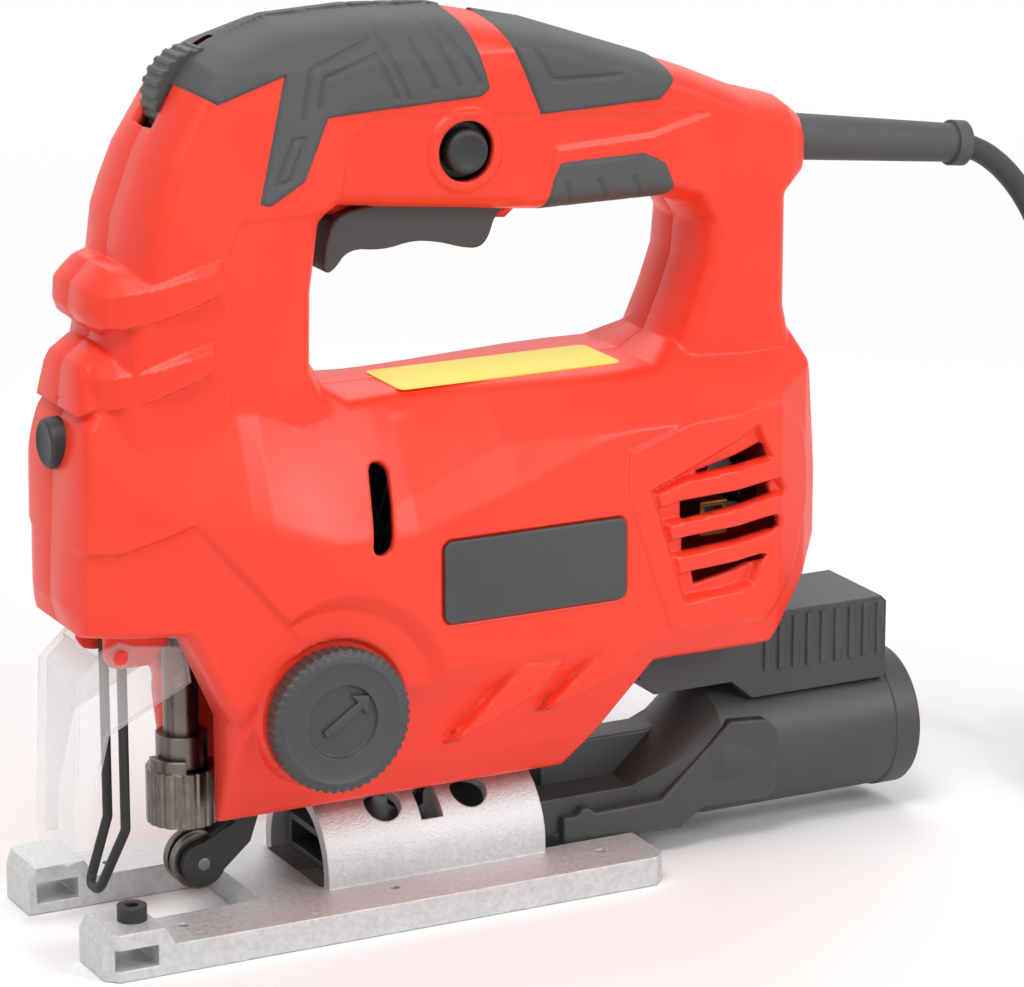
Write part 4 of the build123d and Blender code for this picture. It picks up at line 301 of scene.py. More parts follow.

# %% Edge group: wear and a painted edge highlight
edge_wear_and_light, taken, given = new_group("edge_wear_and_painted_light", {"Radius": 0.0006, "Scale": 260.0}, ["Rub", "Normal"])
round_off = node(edge_wear_and_light, "ShaderNodeBevel", samples=4)
flat = node(edge_wear_and_light, "ShaderNodeNewGeometry")
facing = node(edge_wear_and_light, "ShaderNodeVectorMath", operation="DOT_PRODUCT")
place = node(edge_wear_and_light, "ShaderNodeTexCoord")
broken = node(edge_wear_and_light, "ShaderNodeTexNoise", Detail=3.0)
both = node(edge_wear_and_light, "ShaderNodeMath", operation="MULTIPLY")
edge_wear_and_light.links.new(taken.outputs["Radius"], round_off.inputs["Radius"])
edge_wear_and_light.links.new(round_off.outputs["Normal"], facing.inputs[0])
edge_wear_and_light.links.new(flat.outputs["Normal"], facing.inputs[1])
edge_wear_and_light.links.new(place.outputs["Object"], broken.inputs["Vector"])
edge_wear_and_light.links.new(taken.outputs["Scale"], broken.inputs["Scale"])
edge_wear_and_light.links.new(ramp(edge_wear_and_light, facing.outputs["Value"], 0.999, 0.93), both.inputs[0])
edge_wear_and_light.links.new(ramp(edge_wear_and_light, broken.outputs["Fac"], 0.35, 0.65), both.inputs[1])
edge_wear_and_light.links.new(both.outputs[0], given.inputs["Rub"])
edge_wear_and_light.links.new(round_off.outputs["Normal"], given.inputs["Normal"])
print("group", edge_wear_and_light.name)

# %% Ring and layer group
rings, taken, given = new_group("ring_marks", {"Scale": 900.0, "Uneven": 1.5}, ["Across", "Along"])
place = node(rings, "ShaderNodeTexCoord")
for socket, direction in (("Across", "X"), ("Along", "Z")):
    wave = node(rings, "ShaderNodeTexWave", bands_direction=direction, Detail=2.0)
    wave.inputs["Detail Scale"].default_value = 3.0
    rings.links.new(place.outputs["Object"], wave.inputs["Vector"])
    rings.links.new(taken.outputs["Scale"], wave.inputs["Scale"])
    rings.links.new(taken.outputs["Uneven"], wave.inputs["Distortion"])
    rings.links.new(wave.outputs["Fac"], given.inputs[socket])
print("group", rings.name)

# %% [markdown]
# ## The materials
# Every finish is a Principled surface. The grain drives the bump and a small change of roughness, the patches drive
# a small change of colour, and the edges are a little paler, as wear and as a painted highlight. What is the same all
# over is set on the shader.

# %% Material maker
def srgb(*values):
    """A colour from 0 to 255 as it is seen, as Blender's linear colour."""
    parts = [v / 255 for v in values]
    return (*[p / 12.92 if p <= 0.04045 else ((p + 0.055) / 1.055) ** 2.4 for p in parts], 1.0)


BUMP_DISTANCE = 0.0002


def surface(
    name, tone, patch, rough, grain_scale, bump, edge_wear_and_highlight=None, metal=0.0, marks=None, patch_scale=38.0, shine=0.5
):
    """A grained material: tone and patch colours, two roughness values, the grain's scale and its bump."""
    material = bpy.data.materials.new(name)
    material.use_nodes = True
    tree = material.node_tree
    shader = tree.nodes["Principled BSDF"]
    shader.inputs["Metallic"].default_value = metal
    shader.inputs["Specular IOR Level"].default_value = shine
    grained = node(tree, "ShaderNodeGroup", node_tree=grain)
    grained.inputs["Scale"].default_value = grain_scale
    grained.inputs["Patch"].default_value = patch_scale
    colour = node(tree, "ShaderNodeMix", data_type="RGBA")
    colour.inputs["A"].default_value = tone
    colour.inputs["B"].default_value = patch
    tree.links.new(grained.outputs["Mottle"], colour.inputs["Factor"])
    shade = colour.outputs["Result"]
    # The edge colour is painted along every edge by the edge mask: partly wear, partly a painted highlight.
    if edge_wear_and_highlight:
        edge_wear_and_light_mask = node(tree, "ShaderNodeGroup", node_tree=edge_wear_and_light)
        paler = node(tree, "ShaderNodeMix", data_type="RGBA")
        paler.inputs["B"].default_value = edge_wear_and_highlight
        tree.links.new(edge_wear_and_light_mask.outputs["Rub"], paler.inputs["Factor"])
        tree.links.new(shade, paler.inputs["A"])
        shade = paler.outputs["Result"]
    tree.links.new(shade, shader.inputs["Base Color"])
    tree.links.new(ramp(tree, grained.outputs["Mottle"], 0, 1, *rough), shader.inputs["Roughness"])
    height = grained.outputs["Height"]
    if marks:
        output, scale, uneven, share = marks
        marked = node(tree, "ShaderNodeGroup", node_tree=rings)
        marked.inputs["Scale"].default_value = scale
        marked.inputs["Uneven"].default_value = uneven
        both = node(tree, "ShaderNodeMix", data_type="FLOAT")
        both.inputs["Factor"].default_value = share
        tree.links.new(height, both.inputs["A"])
        tree.links.new(marked.outputs[output], both.inputs["B"])
        height = both.outputs["Result"]
    relief = node(tree, "ShaderNodeBump", Strength=bump)
    relief.inputs["Distance"].default_value = BUMP_DISTANCE
    if edge_wear_and_highlight:
        tree.links.new(edge_wear_and_light_mask.outputs["Normal"], relief.inputs["Normal"])
    tree.links.new(height, relief.inputs["Height"])
    tree.links.new(relief.outputs["Normal"], shader.inputs["Normal"])
    return material


print("material maker ready")

# %% Plastics, rubber and paper
finishes = {
    # The red casing's pale pink edge colour is partly wear and partly a painted edge highlight.
    "red_casing": surface(
        "red_casing", srgb(248, 58, 36), srgb(250, 64, 41), (0.34, 0.42), 2600, 0.10, srgb(252, 108, 88), shine=0.42
    ),
    "dark_rubber": surface(
        "dark_rubber", srgb(72, 73, 73), srgb(78, 79, 79), (0.58, 0.68), 3400, 0.22, srgb(92, 94, 94)
    ),
    "dark_plastic": surface(
        "dark_plastic", srgb(60, 62, 62), srgb(66, 68, 68), (0.44, 0.54), 2200, 0.14, srgb(96, 98, 98)
    ),
    "black_plastic": surface(
        "black_plastic", srgb(30, 30, 31), srgb(36, 36, 37), (0.40, 0.50), 2000, 0.12, srgb(62, 62, 62)
    ),
    "cord_sheath": surface("cord_sheath", srgb(46, 47, 48), srgb(54, 55, 56), (0.46, 0.58), 1500, 0.16),
    "yellow_paper": surface("yellow_paper", srgb(247, 231, 84), srgb(250, 236, 100), (0.45, 0.55), 5200, 0.10),
    "board_green": surface(
        "board_green", srgb(22, 88, 48), srgb(30, 104, 58), (0.35, 0.5), 900, 0.2, srgb(150, 170, 120)
    ),
}
print("plastics", list(finishes))

# %% Metals
finishes.update({
    "cast_alloy": surface(
        "cast_alloy", srgb(196, 197, 198), srgb(214, 215, 216), (0.46, 0.60), 1500, 0.75, srgb(232, 232, 232),
        metal=0.55, patch_scale=700.0,
    ),
    "steel": surface(
        "steel", srgb(106, 100, 95), srgb(124, 117, 111), (0.24, 0.36), 3000, 0.12, srgb(176, 170, 163),
        metal=1.0, marks=("Along", 700.0, 0.6, 0.6), patch_scale=160.0,
    ),
    "bronze": surface(
        "bronze", srgb(164, 118, 62), srgb(182, 134, 76), (0.34, 0.46), 1800, 0.25, srgb(206, 164, 104), metal=1.0
    ),
    "lamination": surface(
        "lamination", srgb(104, 104, 106), srgb(122, 121, 120), (0.42, 0.56), 1600, 0.6, metal=0.9,
        marks=("Across", 640.0, 0.2, 0.85),
    ),
    "copper_wire": surface(
        "copper_wire", srgb(172, 92, 48), srgb(190, 108, 60), (0.30, 0.42), 1400, 0.8, metal=1.0,
        marks=("Along", 420.0, 0.8, 0.85),
    ),
})
print("metals added:", len(finishes), "finishes")

# %% [markdown]
# ## Clear plastic
# The chip guard is thin and a little milky. A glass shader would bend the light, but in so thin a wall that hardly
# shows. So the guard is a pale veil, made by Alpha, that lets most of the view through. The edge mask paints its
# edges greyer and denser, a painted shade in place of the light that real clear edges bend, and they show as thin
# lines.

# %% Clear plastic
CLEAR_VEIL, CLEAR_ROUGHNESS = (0.22, 0.7), (0.02, 0.09)
CLEAR_EDGE_SCALE, CLEAR_GRAIN_SCALE, CLEAR_BUMP = 40.0, 600.0, 0.04
clear = bpy.data.materials.new("clear_plastic")
clear.use_nodes = True
tree = clear.node_tree
shader = tree.nodes["Principled BSDF"]
edged = node(tree, "ShaderNodeGroup", node_tree=edge_wear_and_light)
edged.inputs["Scale"].default_value = CLEAR_EDGE_SCALE
# Painted shade: the edge mask mixes the guard's edges to grey and makes them denser, in place of refraction.
veil = node(tree, "ShaderNodeMix", data_type="RGBA")
veil.inputs["A"].default_value = srgb(243, 245, 246)
veil.inputs["B"].default_value = srgb(186, 190, 194)
tree.links.new(edged.outputs["Rub"], veil.inputs["Factor"])
tree.links.new(veil.outputs["Result"], shader.inputs["Base Color"])
tree.links.new(ramp(tree, edged.outputs["Rub"], 0, 1, *CLEAR_VEIL), shader.inputs["Alpha"])
hazed = node(tree, "ShaderNodeGroup", node_tree=grain)
hazed.inputs["Scale"].default_value = CLEAR_GRAIN_SCALE
tree.links.new(ramp(tree, hazed.outputs["Mottle"], 0, 1, *CLEAR_ROUGHNESS), shader.inputs["Roughness"])
swim = node(tree, "ShaderNodeBump", Strength=CLEAR_BUMP)
swim.inputs["Distance"].default_value = BUMP_DISTANCE
tree.links.new(hazed.outputs["Height"], swim.inputs["Height"])
tree.links.new(swim.outputs["Normal"], shader.inputs["Normal"])
finishes["clear_plastic"] = clear
print("clear plastic added")

# %% [markdown]
# ## Dressing the CAD nodes
# A rigid piece whose shape is right stays as the CAD made it and only gets its finish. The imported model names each
# node's material slot, so one loop dresses them all.

# %% Dress the nodes
for name, thing in nodes.items():
    for place in thing.material_slots:
        place.material = finishes[place.material.name.split(".")[0]]
mains_cord.data.materials.append(finishes["cord_sheath"])
for name in ("wire_guard", "roller_lever", "fence_screw", "tilt_bolt"):
    nodes[name].material_slots[0].material = finishes["black_plastic"]
print("dressed", len(nodes), "nodes")

# %% [markdown]
# ## The moulded casing
# The real casing is two injection-moulded shells that meet on the tool's middle plane. A mould half pulls straight
# out, so each half is a height field: seen from the side, every point has one depth. That makes it easy to build as
# a fine grid whose height is worked out from outlines, slopes and rounded edges. The grid is slid onto the
# important lines first, so that an edge runs straight and not in steps.

# %% Distances to outlines
def depth_in(points, x, z):
    """How far each place is inside a closed outline, negative outside."""
    inside = np.zeros(x.shape, bool)
    nearest = np.full(x.shape, 1e9)
    for (ax, az), (bx, bz) in zip(points, points[1:] + points[:1]):
        ex, ez = bx - ax, bz - az
        share = np.clip(((x - ax) * ex + (z - az) * ez) / (ex * ex + ez * ez), 0, 1)
        nearest = np.minimum(nearest, np.hypot(x - ax - share * ex, z - az - share * ez))
        if az != bz:
            inside ^= ((az > z) != (bz > z)) & (x < ax + (z - az) / (bz - az) * ex)
    return np.where(inside, nearest, -nearest)


def off_line(points, x, z):
    """How far each place is from an open line of points."""
    nearest = np.full(x.shape, 1e9)
    for (ax, az), (bx, bz) in zip(points, points[1:]):
        ex, ez = bx - ax, bz - az
        share = np.clip(((x - ax) * ex + (z - az) * ez) / (ex * ex + ez * ez), 0, 1)
        nearest = np.minimum(nearest, np.hypot(x - ax - share * ex, z - az - share * ez))
    return nearest


def along(table, places):
    """Values between the pairs of a table."""
    return np.interp(places, *zip(*table))


def rounded(depth, inset, drop):
    """How far a rounded edge falls at a depth inside it."""
    return drop * np.clip(1 - depth / inset, 0, 1.3) ** 3


def smooth(value):
    """A soft step from 0 to 1."""
    value = np.clip(value, 0, 1)
    return value * value * (3 - 2 * value)


def ramped(depth, width=0.7):
    """A straight step from 0 to 1, just wide enough for the grid to follow."""
    return np.clip(depth / width + 0.5, 0, 1)


def larger(a, b, blend):
    """The larger of two heights, with a small fillet where they meet."""
    near = np.clip(0.5 + (a - b) / (2 * blend), 0, 1)
    return b + (a - b) * near + blend * near * (1 - near)


def smaller(a, b, blend):
    """The smaller of two heights, with a small round where they meet."""
    return -larger(-a, -b, blend)


print("outline helpers ready")

# %% Outlines of the casing
BODY_SIDE = [
    (1.2, 84), (2.8, 114.4), (5, 126.5), (192.5, 126.5), (195, 119.7), (199.5, 94), (199.5, 76.5), (190.6, 67.1),
    (178, 55), (145.7, 55), (126.1, 28.1), (36, 28.1), (36, 54), (25.5, 77.5), (3, 77.5),
]
LOOP_SIDE = [
    (4, 100), (5, 126.5), (8.5, 131.6), (14, 150), (17, 162.4), (18.5, 172.5), (24, 187), (33, 202.5), (37, 207.5),
    (43, 210.5), (56.6, 215.1), (76.8, 216), (97.3, 215.1), (123.4, 209.3), (163.9, 195.5), (180, 188.7),
    (191.2, 185.7), (196.5, 182.2), (198.8, 177), (198.8, 170.6), (197.5, 166.5), (191.5, 162.5), (191.5, 136),
    (193.5, 128), (193.5, 100),
]
HAND_GAP = [
    (62.8, 153), (62.4, 136), (65.6, 130), (71, 126.5), (150, 126.5), (157, 130.7), (161, 139.8), (164.2, 149),
    (165, 158), (162, 163), (156, 165), (121, 165), (69, 170.6), (65.2, 168),
]
LOOP_CROSS = [(95, 22), (165, 22), (190, 19), (205, 17), (216.5, 11)]
LOOP_PLAN = [
    (4, 10), (9, 15), (16, 19.5), (30, 21.5), (39, 21.9), (56, 21.5), (70, 18), (150, 17.2), (175, 16.5),
    (190, 14.5), (197, 11),
]
BODY_PLAN = [
    (1.2, 12), (3.5, 18), (12, 23.5), (24, 27.5), (37, 30.5), (60, 33.4), (150, 33.4), (166, 32), (180, 28),
    (191, 21), (199.5, 12),
]
BODY_CROSS = [(28.1, 18), (38, 23.5), (55, 28.6), (63.6, 33.4), (130, 33.4)]
# Each band: its lower edge, its upper edge, its half-widths and its outline on the middle plane
BANDS = [
    (
        [(4, 129.2), (12.7, 131.1), (20.5, 133.2), (28.2, 136.2), (34, 138.8)],
        [(4, 137.2), (9, 137.8), (20.6, 140), (34, 143.7)],
        [(4, 8), (6, 11.5), (9, 15.4), (12.7, 18.2), (20.5, 21.6), (28, 23.4), (34, 23.6)],
        [(4.3, 129.2), (5.3, 137.8), (6.4, 140.5), (11.4, 144.1), (33.6, 146), (33.6, 138.5), (20, 131)],
    ),
    (
        [(6, 148.4), (15.1, 149.5), (22.8, 151.6), (36, 156.4)],
        [(6, 156.2), (9.6, 156.4), (21, 158.6), (36, 162.6)],
        [(6, 8), (8, 11.5), (11, 15.4), (15, 18.4), (22.5, 21.8), (30, 23.6), (36, 23.8)],
        [(12.1, 146.5), (9.3, 148.8), (7.4, 152), (8.2, 157.6), (12.9, 162.4), (35.7, 165), (35.7, 156.3)],
    ),
]
print("casing outlines:", len(BODY_SIDE) + len(LOOP_SIDE) + len(HAND_GAP), "points")

# %% Features on the sides
CHAMFER_LOW = [(1, 96.3), (80.5, 96.3), (106.5, 104.3), (127.7, 112.4), (138.4, 114.6), (200, 114.6)]
CHAMFER_HIGH = [(1, 96.3), (60, 96.3), (70.8, 101.4), (81, 105.4), (96.6, 112.1), (104.9, 114.8), (200, 114.6)]
CHAMFER_SLOPE = 0.5
SHOULDER_SLOPE = [(40, 0.36), (75, 0.62), (105, 1.0), (150, 1.2), (190, 1.7)]
SHOULDER_DIP = [(0, 20), (45, 0), (200, 0)]
NOSE_CHEEK = [(-8, 98), (9.4, 98), (27, 104.4), (52, 74), (36, 50), (25.5, 70), (-8, 70)]
COLUMN_PANEL = [(38.6, 110), (38.6, 165), (42, 172), (80, 172), (80, 110)]
VENT_PANEL = [
    (135.4, 109.8), (154.6, 116), (179, 116), (189, 108), (193.5, 92), (186, 72.5), (176, 62.5), (147, 64.8),
    (135.4, 98.7),
]
VENT_RECESS = [(141, 100), (172.5, 112.2), (182.5, 93), (171.5, 71.2), (150.5, 70.4)]
VENT_SLATS = [
    [(142.6, 98.7), (151, 101.2), (176, 102.4), (184, 101.5), (184, 96.8), (150, 96), (143.9, 95)],
    [(145.6, 90.9), (178, 93.1), (186, 92.5), (186, 88), (151, 86.9), (146.9, 86.6)],
    [(148, 82.6), (181, 84.4), (185, 83.5), (182, 79.2), (153.5, 78.1), (149.2, 77.8)],
]
VENTS = [
    [(151.4, 101.8), (174.2, 106.6), (175.8, 102.9)],
    [(150.4, 95.6), (177.5, 96.4), (177.9, 93.5), (150.4, 91.4)],
    [(150.9, 86.5), (180.4, 87.5), (180.5, 84.7), (150.9, 83.3)],
    [(153.7, 77.7), (177.8, 78.9), (171.2, 76.6), (154.5, 74.1)],
]
FINS = [
    [(90.5, 42.2), (107.7, 60.6), (119, 60.2), (112.5, 52)],
    [(114.1, 46.9), (130, 62), (141.4, 62), (135.5, 54)],
]
SIDE_SLOT = [(71.2, 95.4), (73.8, 110.6)]
SIDE_SLOT_RADIUS = 2.7
KNOB_PLACE = (59.1, 55.2)
KNOB_SEAT, KNOB_DISH = 30.0, 31.0
LOCK_PLACE = (100.2, 182.7)
BADGE_PLACE, BADGE_SIZE, BADGE_CORNER = (110.7, 84.2), (48.6, 20.5), 2.4
HANDLE_PANEL = [(77, 193.2), (70, 187), (67.2, 165), (100, 165), (121, 170), (124, 181), (150, 182), (166, 186)]
SCREW_PLACES = [(13, 104), (57, 176), (78, 46), (117, 44), (167, 64), (179, 142), (163, 181)]
SCREW_BORE, SCREW_SEAT = 3.5, 10.6
DIAL_PLACE, DIAL_ROOM = (40.0, 198.0), 12.2
# Soft grips on the handle
GRIPS = {
    "front_grip": [
        (28, 206), (29.5, 203.5), (38, 198.5), (54.5, 203.5), (46.5, 175.5), (49.5, 174.8), (58.4, 179.7),
        (65.1, 193.4), (104.3, 194.9), (106.9, 196.8), (100, 220), (30, 220),
    ],
    "rear_grip": [(106.6, 220), (119.9, 189.3), (151.8, 190.2), (156.4, 194.6), (155, 220)],
    "under_grip": [
        (121.5, 158), (121.8, 168.6), (123.1, 173.7), (125.2, 177.8), (147.6, 178.2), (153.6, 175.2),
        (156.4, 168.9), (156, 158),
    ],
}
print("side features ready")

# %% Depths and radii of the features
SIDE_FACE, BODY_ROUND, JOIN_FILLET, LEAST_WIDTH = 33.4, 1.5, 0.5, 0.6
LOOP_ROUND, LOOP_DROP, EDGE_ROUND = 7.0, 9.0, 2.6
COLUMN_SINK, CHEEK_SINK, CHEEK_BANK = 0.8, 1.5, 1.4
HANDLE_SINK, HANDLE_BANK, HANDLE_FLOOR_Z = 0.7, 1.6, 160
BAND_FALL = 1.25
FIN_FACE, FIN_FALL, FIN_TOP_Z = 32.6, 0.22, 62
VENT_RISE, VENT_EDGE, VENT_SINK, VENT_BANK = 0.7, 0.8, 2.6, 1.6
BADGE_SINK, BADGE_MARGIN = 0.8, 0.6
KNOB_SEAT_RADIUS = 18.4
DISH_RADIUS, DISH_BANK, DISH_RISE, DISH_REACH = 25.5, 5.5, 2.6, 32
LOCK_RIM, LOCK_RIM_RADIUS, LOCK_RIM_BANK = 1.3, 10.4, 1.6
print("least half-width", LEAST_WIDTH)

# %% Height of the body and the loop
def casing_depth(x, z):
    """Depth inside the casing's side outline, bands and hand gap included."""
    depth = np.maximum(depth_in(BODY_SIDE, x, z), depth_in(LOOP_SIDE, x, z))
    for band in BANDS:
        depth = np.maximum(depth, depth_in(band[3], x, z))
    return np.minimum(depth, -depth_in(HAND_GAP, x, z))


def body_height(x, z):
    """Half-width of the motor body: flat side, chamfer facet, sloping shoulder and skid."""
    low, high = along(CHAMFER_LOW, x), along(CHAMFER_HIGH, x)
    facet = np.maximum(high - low, 0)
    up = z + along(SHOULDER_DIP, x)
    shoulder = CHAMFER_SLOPE * facet + along(SHOULDER_SLOPE, x) * (up - low - facet)
    falls = np.where(up < low + facet, CHAMFER_SLOPE * np.maximum(up - low, 0), shoulder)
    side = along(BODY_CROSS, z) - falls
    return smaller(side, along(BODY_PLAN, x), BODY_ROUND)


def loop_height(x, z):
    """Half-width of the column, handle and rear post, well rounded all round."""
    depth = np.minimum(depth_in(LOOP_SIDE, x, z), -depth_in(HAND_GAP, x, z))
    tall = np.minimum(along(LOOP_CROSS, z), along(LOOP_PLAN, x))
    tall -= COLUMN_SINK * ramped(depth_in(COLUMN_PANEL, x, z), 1.0)
    return np.where(depth > -1, tall - rounded(depth, LOOP_ROUND, LOOP_DROP), 0)


print("body half-width at the badge", body_height(*np.array(BADGE_PLACE).reshape(2, 1)))

# %% Height of the casing
def side_relief(height, x, z):
    """The cheek, the handle's panel, the bands, the fins, the vents and the badge's pocket on a half-width."""
    height -= CHEEK_SINK * ramped(depth_in(NOSE_CHEEK, x, z), CHEEK_BANK)
    height -= HANDLE_SINK * smooth(depth_in(HANDLE_PANEL, x, z) / HANDLE_BANK + 0.5) * (z > HANDLE_FLOOR_Z)
    for low, high, plan, _ in BANDS:
        proud = along(plan, x) - BAND_FALL * np.maximum(z - along(high, x), 0)
        shown = ramped(z - along(low, x)) * ramped(plan[-1][0] - x)
        height += np.maximum(proud - height, 0) * shown
    for fin in FINS:
        gusset = FIN_FACE - FIN_FALL * (FIN_TOP_Z - z)
        height += np.maximum(gusset - height, 0) * ramped(depth_in(fin, x, z))
    slats = np.max([depth_in(slat, x, z) for slat in VENT_SLATS], axis=0)
    height += VENT_RISE * smooth(depth_in(VENT_PANEL, x, z) / VENT_EDGE + 0.5)
    height -= VENT_SINK * np.clip(depth_in(VENT_RECESS, x, z) / VENT_BANK, 0, 1) * (1 - ramped(slats, 1.0))
    badge = BADGE_CORNER - np.hypot(
        np.maximum(abs(x - BADGE_PLACE[0]) - BADGE_SIZE[0] / 2 + BADGE_CORNER, 0),
        np.maximum(abs(z - BADGE_PLACE[1]) - BADGE_SIZE[1] / 2 + BADGE_CORNER, 0),
    )
    height = np.where(badge > -BADGE_MARGIN, np.minimum(height, SIDE_FACE), height)
    return height - BADGE_SINK * ramped(badge)


def casing_height(x, z, left):
    """Half-width of one casing half over its side view: knob and lock on the left, screws on the right."""
    height = larger(loop_height(x, z), np.maximum(body_height(x, z), 0), JOIN_FILLET)
    height = side_relief(height, x, z) - rounded(casing_depth(x, z), EDGE_ROUND, EDGE_ROUND)
    if left:
        knob = np.hypot(x - KNOB_PLACE[0], z - KNOB_PLACE[1])
        dish = KNOB_DISH + DISH_RISE * np.clip((knob - DISH_RADIUS) / DISH_BANK, 0, 1)
        height = np.where(knob < DISH_REACH, np.minimum(height, dish), height)
        height += (KNOB_SEAT - height) * ramped(KNOB_SEAT_RADIUS - knob)
        lock = np.hypot(x - LOCK_PLACE[0], z - LOCK_PLACE[1])
        height += LOCK_RIM * smooth((LOCK_RIM_RADIUS - lock) / LOCK_RIM_BANK)
    else:
        for place in SCREW_PLACES:
            bore = ramped(SCREW_BORE - np.hypot(x - place[0], z - place[1]))
            height -= np.maximum(height - SCREW_SEAT, 0) * bore
    return np.maximum(height, LEAST_WIDTH)


print("casing half-width at the badge", casing_height(*np.array(BADGE_PLACE).reshape(2, 1), True))

# %% [markdown]
# ## From a height field to a mesh
# The grid is cut to the outline and its holes, and its places near a line are slid onto that line. The border of
# what is left is the rim. A wall goes down from the rim to the middle plane, and it ends in a fine groove, which is
# the seam that shows where two mould halves meet.

# %% Grid of a moulded piece
GRID = 0.5
GRID_X, GRID_Z = (-0.3, 201), (26.8, 218)
PROBE, LEAST_SLOPE, SNAP_REACH, KEEP_REACH, RIM_REACH = 0.01, 0.2, 0.48, 0.05, 1.5


def toward(depth, x, z):
    """The direction in which a depth grows, as a unit vector."""
    gx = (depth(x + PROBE, z) - depth(x - PROBE, z)) / (2 * PROBE)
    gz = (depth(x, z + PROBE) - depth(x, z - PROBE)) / (2 * PROBE)
    size = np.maximum(np.hypot(gx, gz), LEAST_SLOPE)
    return gx / size, gz / size


def slide(depth, x, z, reach):
    """Moves the grid's nearest places onto the line where a depth is nought."""
    near = abs(depth(x, z)) < reach
    px, pz = x[near], z[near]
    for _ in range(2):
        off = depth(px, pz)
        gx, gz = toward(depth, px, pz)
        px, pz = px - off * gx, pz - off * gz
    x, z = x.copy(), z.copy()
    x[near], z[near] = px, pz
    return x, z


def cut_grid(edge, holes):
    """The grid's places and cells inside an edge and outside its holes, and the cells' border as a list of edges."""
    x, z = np.meshgrid(np.arange(*GRID_X, GRID), np.arange(*GRID_Z, GRID), indexing="ij")
    for line in holes + [edge]:
        x, z = slide(line, x, z, SNAP_REACH * GRID)
    kept = edge(x, z) > -KEEP_REACH * GRID
    for hole in holes:
        kept &= hole(x, z) < KEEP_REACH * GRID
    cells = kept[:-1, :-1] & kept[1:, :-1] & kept[1:, 1:] & kept[:-1, 1:]
    index = np.arange(x.size).reshape(x.shape)
    corners = [index[:-1, :-1][cells], index[1:, :-1][cells], index[1:, 1:][cells], index[:-1, 1:][cells]]
    quads = np.stack(corners, axis=1)
    used, flat = np.unique(quads, return_inverse=True)
    quads = flat.reshape(quads.shape)
    px, pz = x.ravel()[used], z.ravel()[used]
    edges = np.concatenate([quads[:, [a, (a + 1) % 4]] for a in range(4)])
    _, first, count = np.unique(np.sort(edges, axis=1), axis=0, return_index=True, return_counts=True)
    rim = edges[first[count == 1]]
    ring = np.unique(rim)
    for line in [edge] + holes:
        px[ring], pz[ring] = slide(line, px[ring], pz[ring], RIM_REACH * GRID)
    return px, pz, quads, rim


print("grid of", GRID, "mm")

# %% Wall and seam of a moulded piece
SEAM_HALF, SEAM_DEPTH, CASING_SHARP = 0.3, 0.14, 32


def relief(name, edge, height, holes, inner, side):
    """A moulded half as a mesh: grid cells inside the edge, with a wall from the rim to the middle plane."""
    px, pz, quads, rim = cut_grid(edge, holes)
    py = height(px, pz)
    if holes:
        middle_x, middle_z = px[rim].mean(axis=1), pz[rim].mean(axis=1)
        rim = rim[np.max([hole(middle_x, middle_z) for hole in holes], axis=0) < -2 * GRID]
    ring = np.unique(rim)
    gx, gz = toward(edge, px[ring], pz[ring])
    stop = np.minimum(inner(px[ring], pz[ring]), py[ring])
    is_open = stop > 0
    seam = np.where(is_open, stop, np.minimum(SEAM_HALF, py[ring]))
    groove = np.where(is_open, 0, SEAM_DEPTH)
    to_lower = np.zeros(len(px), int)
    to_lower[ring] = np.arange(len(ring)) + len(px)
    walls = np.stack([rim[:, 1], rim[:, 0], to_lower[rim[:, 0]], to_lower[rim[:, 1]]], axis=1)
    below = to_lower[rim] + len(ring)
    seams = np.stack([to_lower[rim[:, 1]], to_lower[rim[:, 0]], below[:, 0], below[:, 1]], axis=1)
    closed = ~is_open[to_lower[rim] - len(px)].all(axis=1)
    vx = np.concatenate([px, px[ring], px[ring] + groove * gx])
    vz = np.concatenate([pz, pz[ring], pz[ring] + groove * gz])
    vy = np.concatenate([py, seam, np.where(is_open, stop, 0)])
    faces = np.concatenate([quads, walls, seams[closed]])
    if side > 0:
        faces = faces[:, ::-1]
    mesh = bpy.data.meshes.new(name)
    mesh.from_pydata(np.stack([(vx + FRONT) * MM, side * vy * MM, vz * MM], axis=1).tolist(), [], faces.tolist())
    mesh.validate()
    mesh.polygons.foreach_set("use_smooth", [True] * len(mesh.polygons))
    mesh.set_sharp_from_angle(angle=math.radians(CASING_SHARP))
    thing = bpy.data.objects.new(name, mesh)
    scene.collection.objects.link(thing)
    print(name, len(mesh.vertices), "vertices", len(mesh.polygons), "faces")
    return thing


print("wall sharp above", CASING_SHARP, "degrees")

# %% [markdown]
# ## The two halves
# The wall of each half runs in to the middle plane, apart from four places: the plunger's well, the trigger's slot,
# the thumbwheel's slot and the blade's opening stay clear. A Solidify modifier then gives the shell its thickness.

# %% Where the wall stops short
WELL_HALF_WIDTH, TRIGGER_HALF_SLOT, DIAL_HALF_SLOT = 13.5, 8.9, 4.9
WELL_ROOM, BLADE_ROOM = ((23.5, 36.6), (27, 78)), ((35, 66), (0, 29))
TRIGGER_ROOM = ((61, 117), (156, 172.5))
DIAL_MARGIN, DIAL_FLOOR_Z = 2, 190


def in_room(room, x, z):
    """Which places lie in a box of the side view."""
    (x_low, x_high), (z_low, z_high) = room
    return (x > x_low) & (x < x_high) & (z > z_low) & (z < z_high)


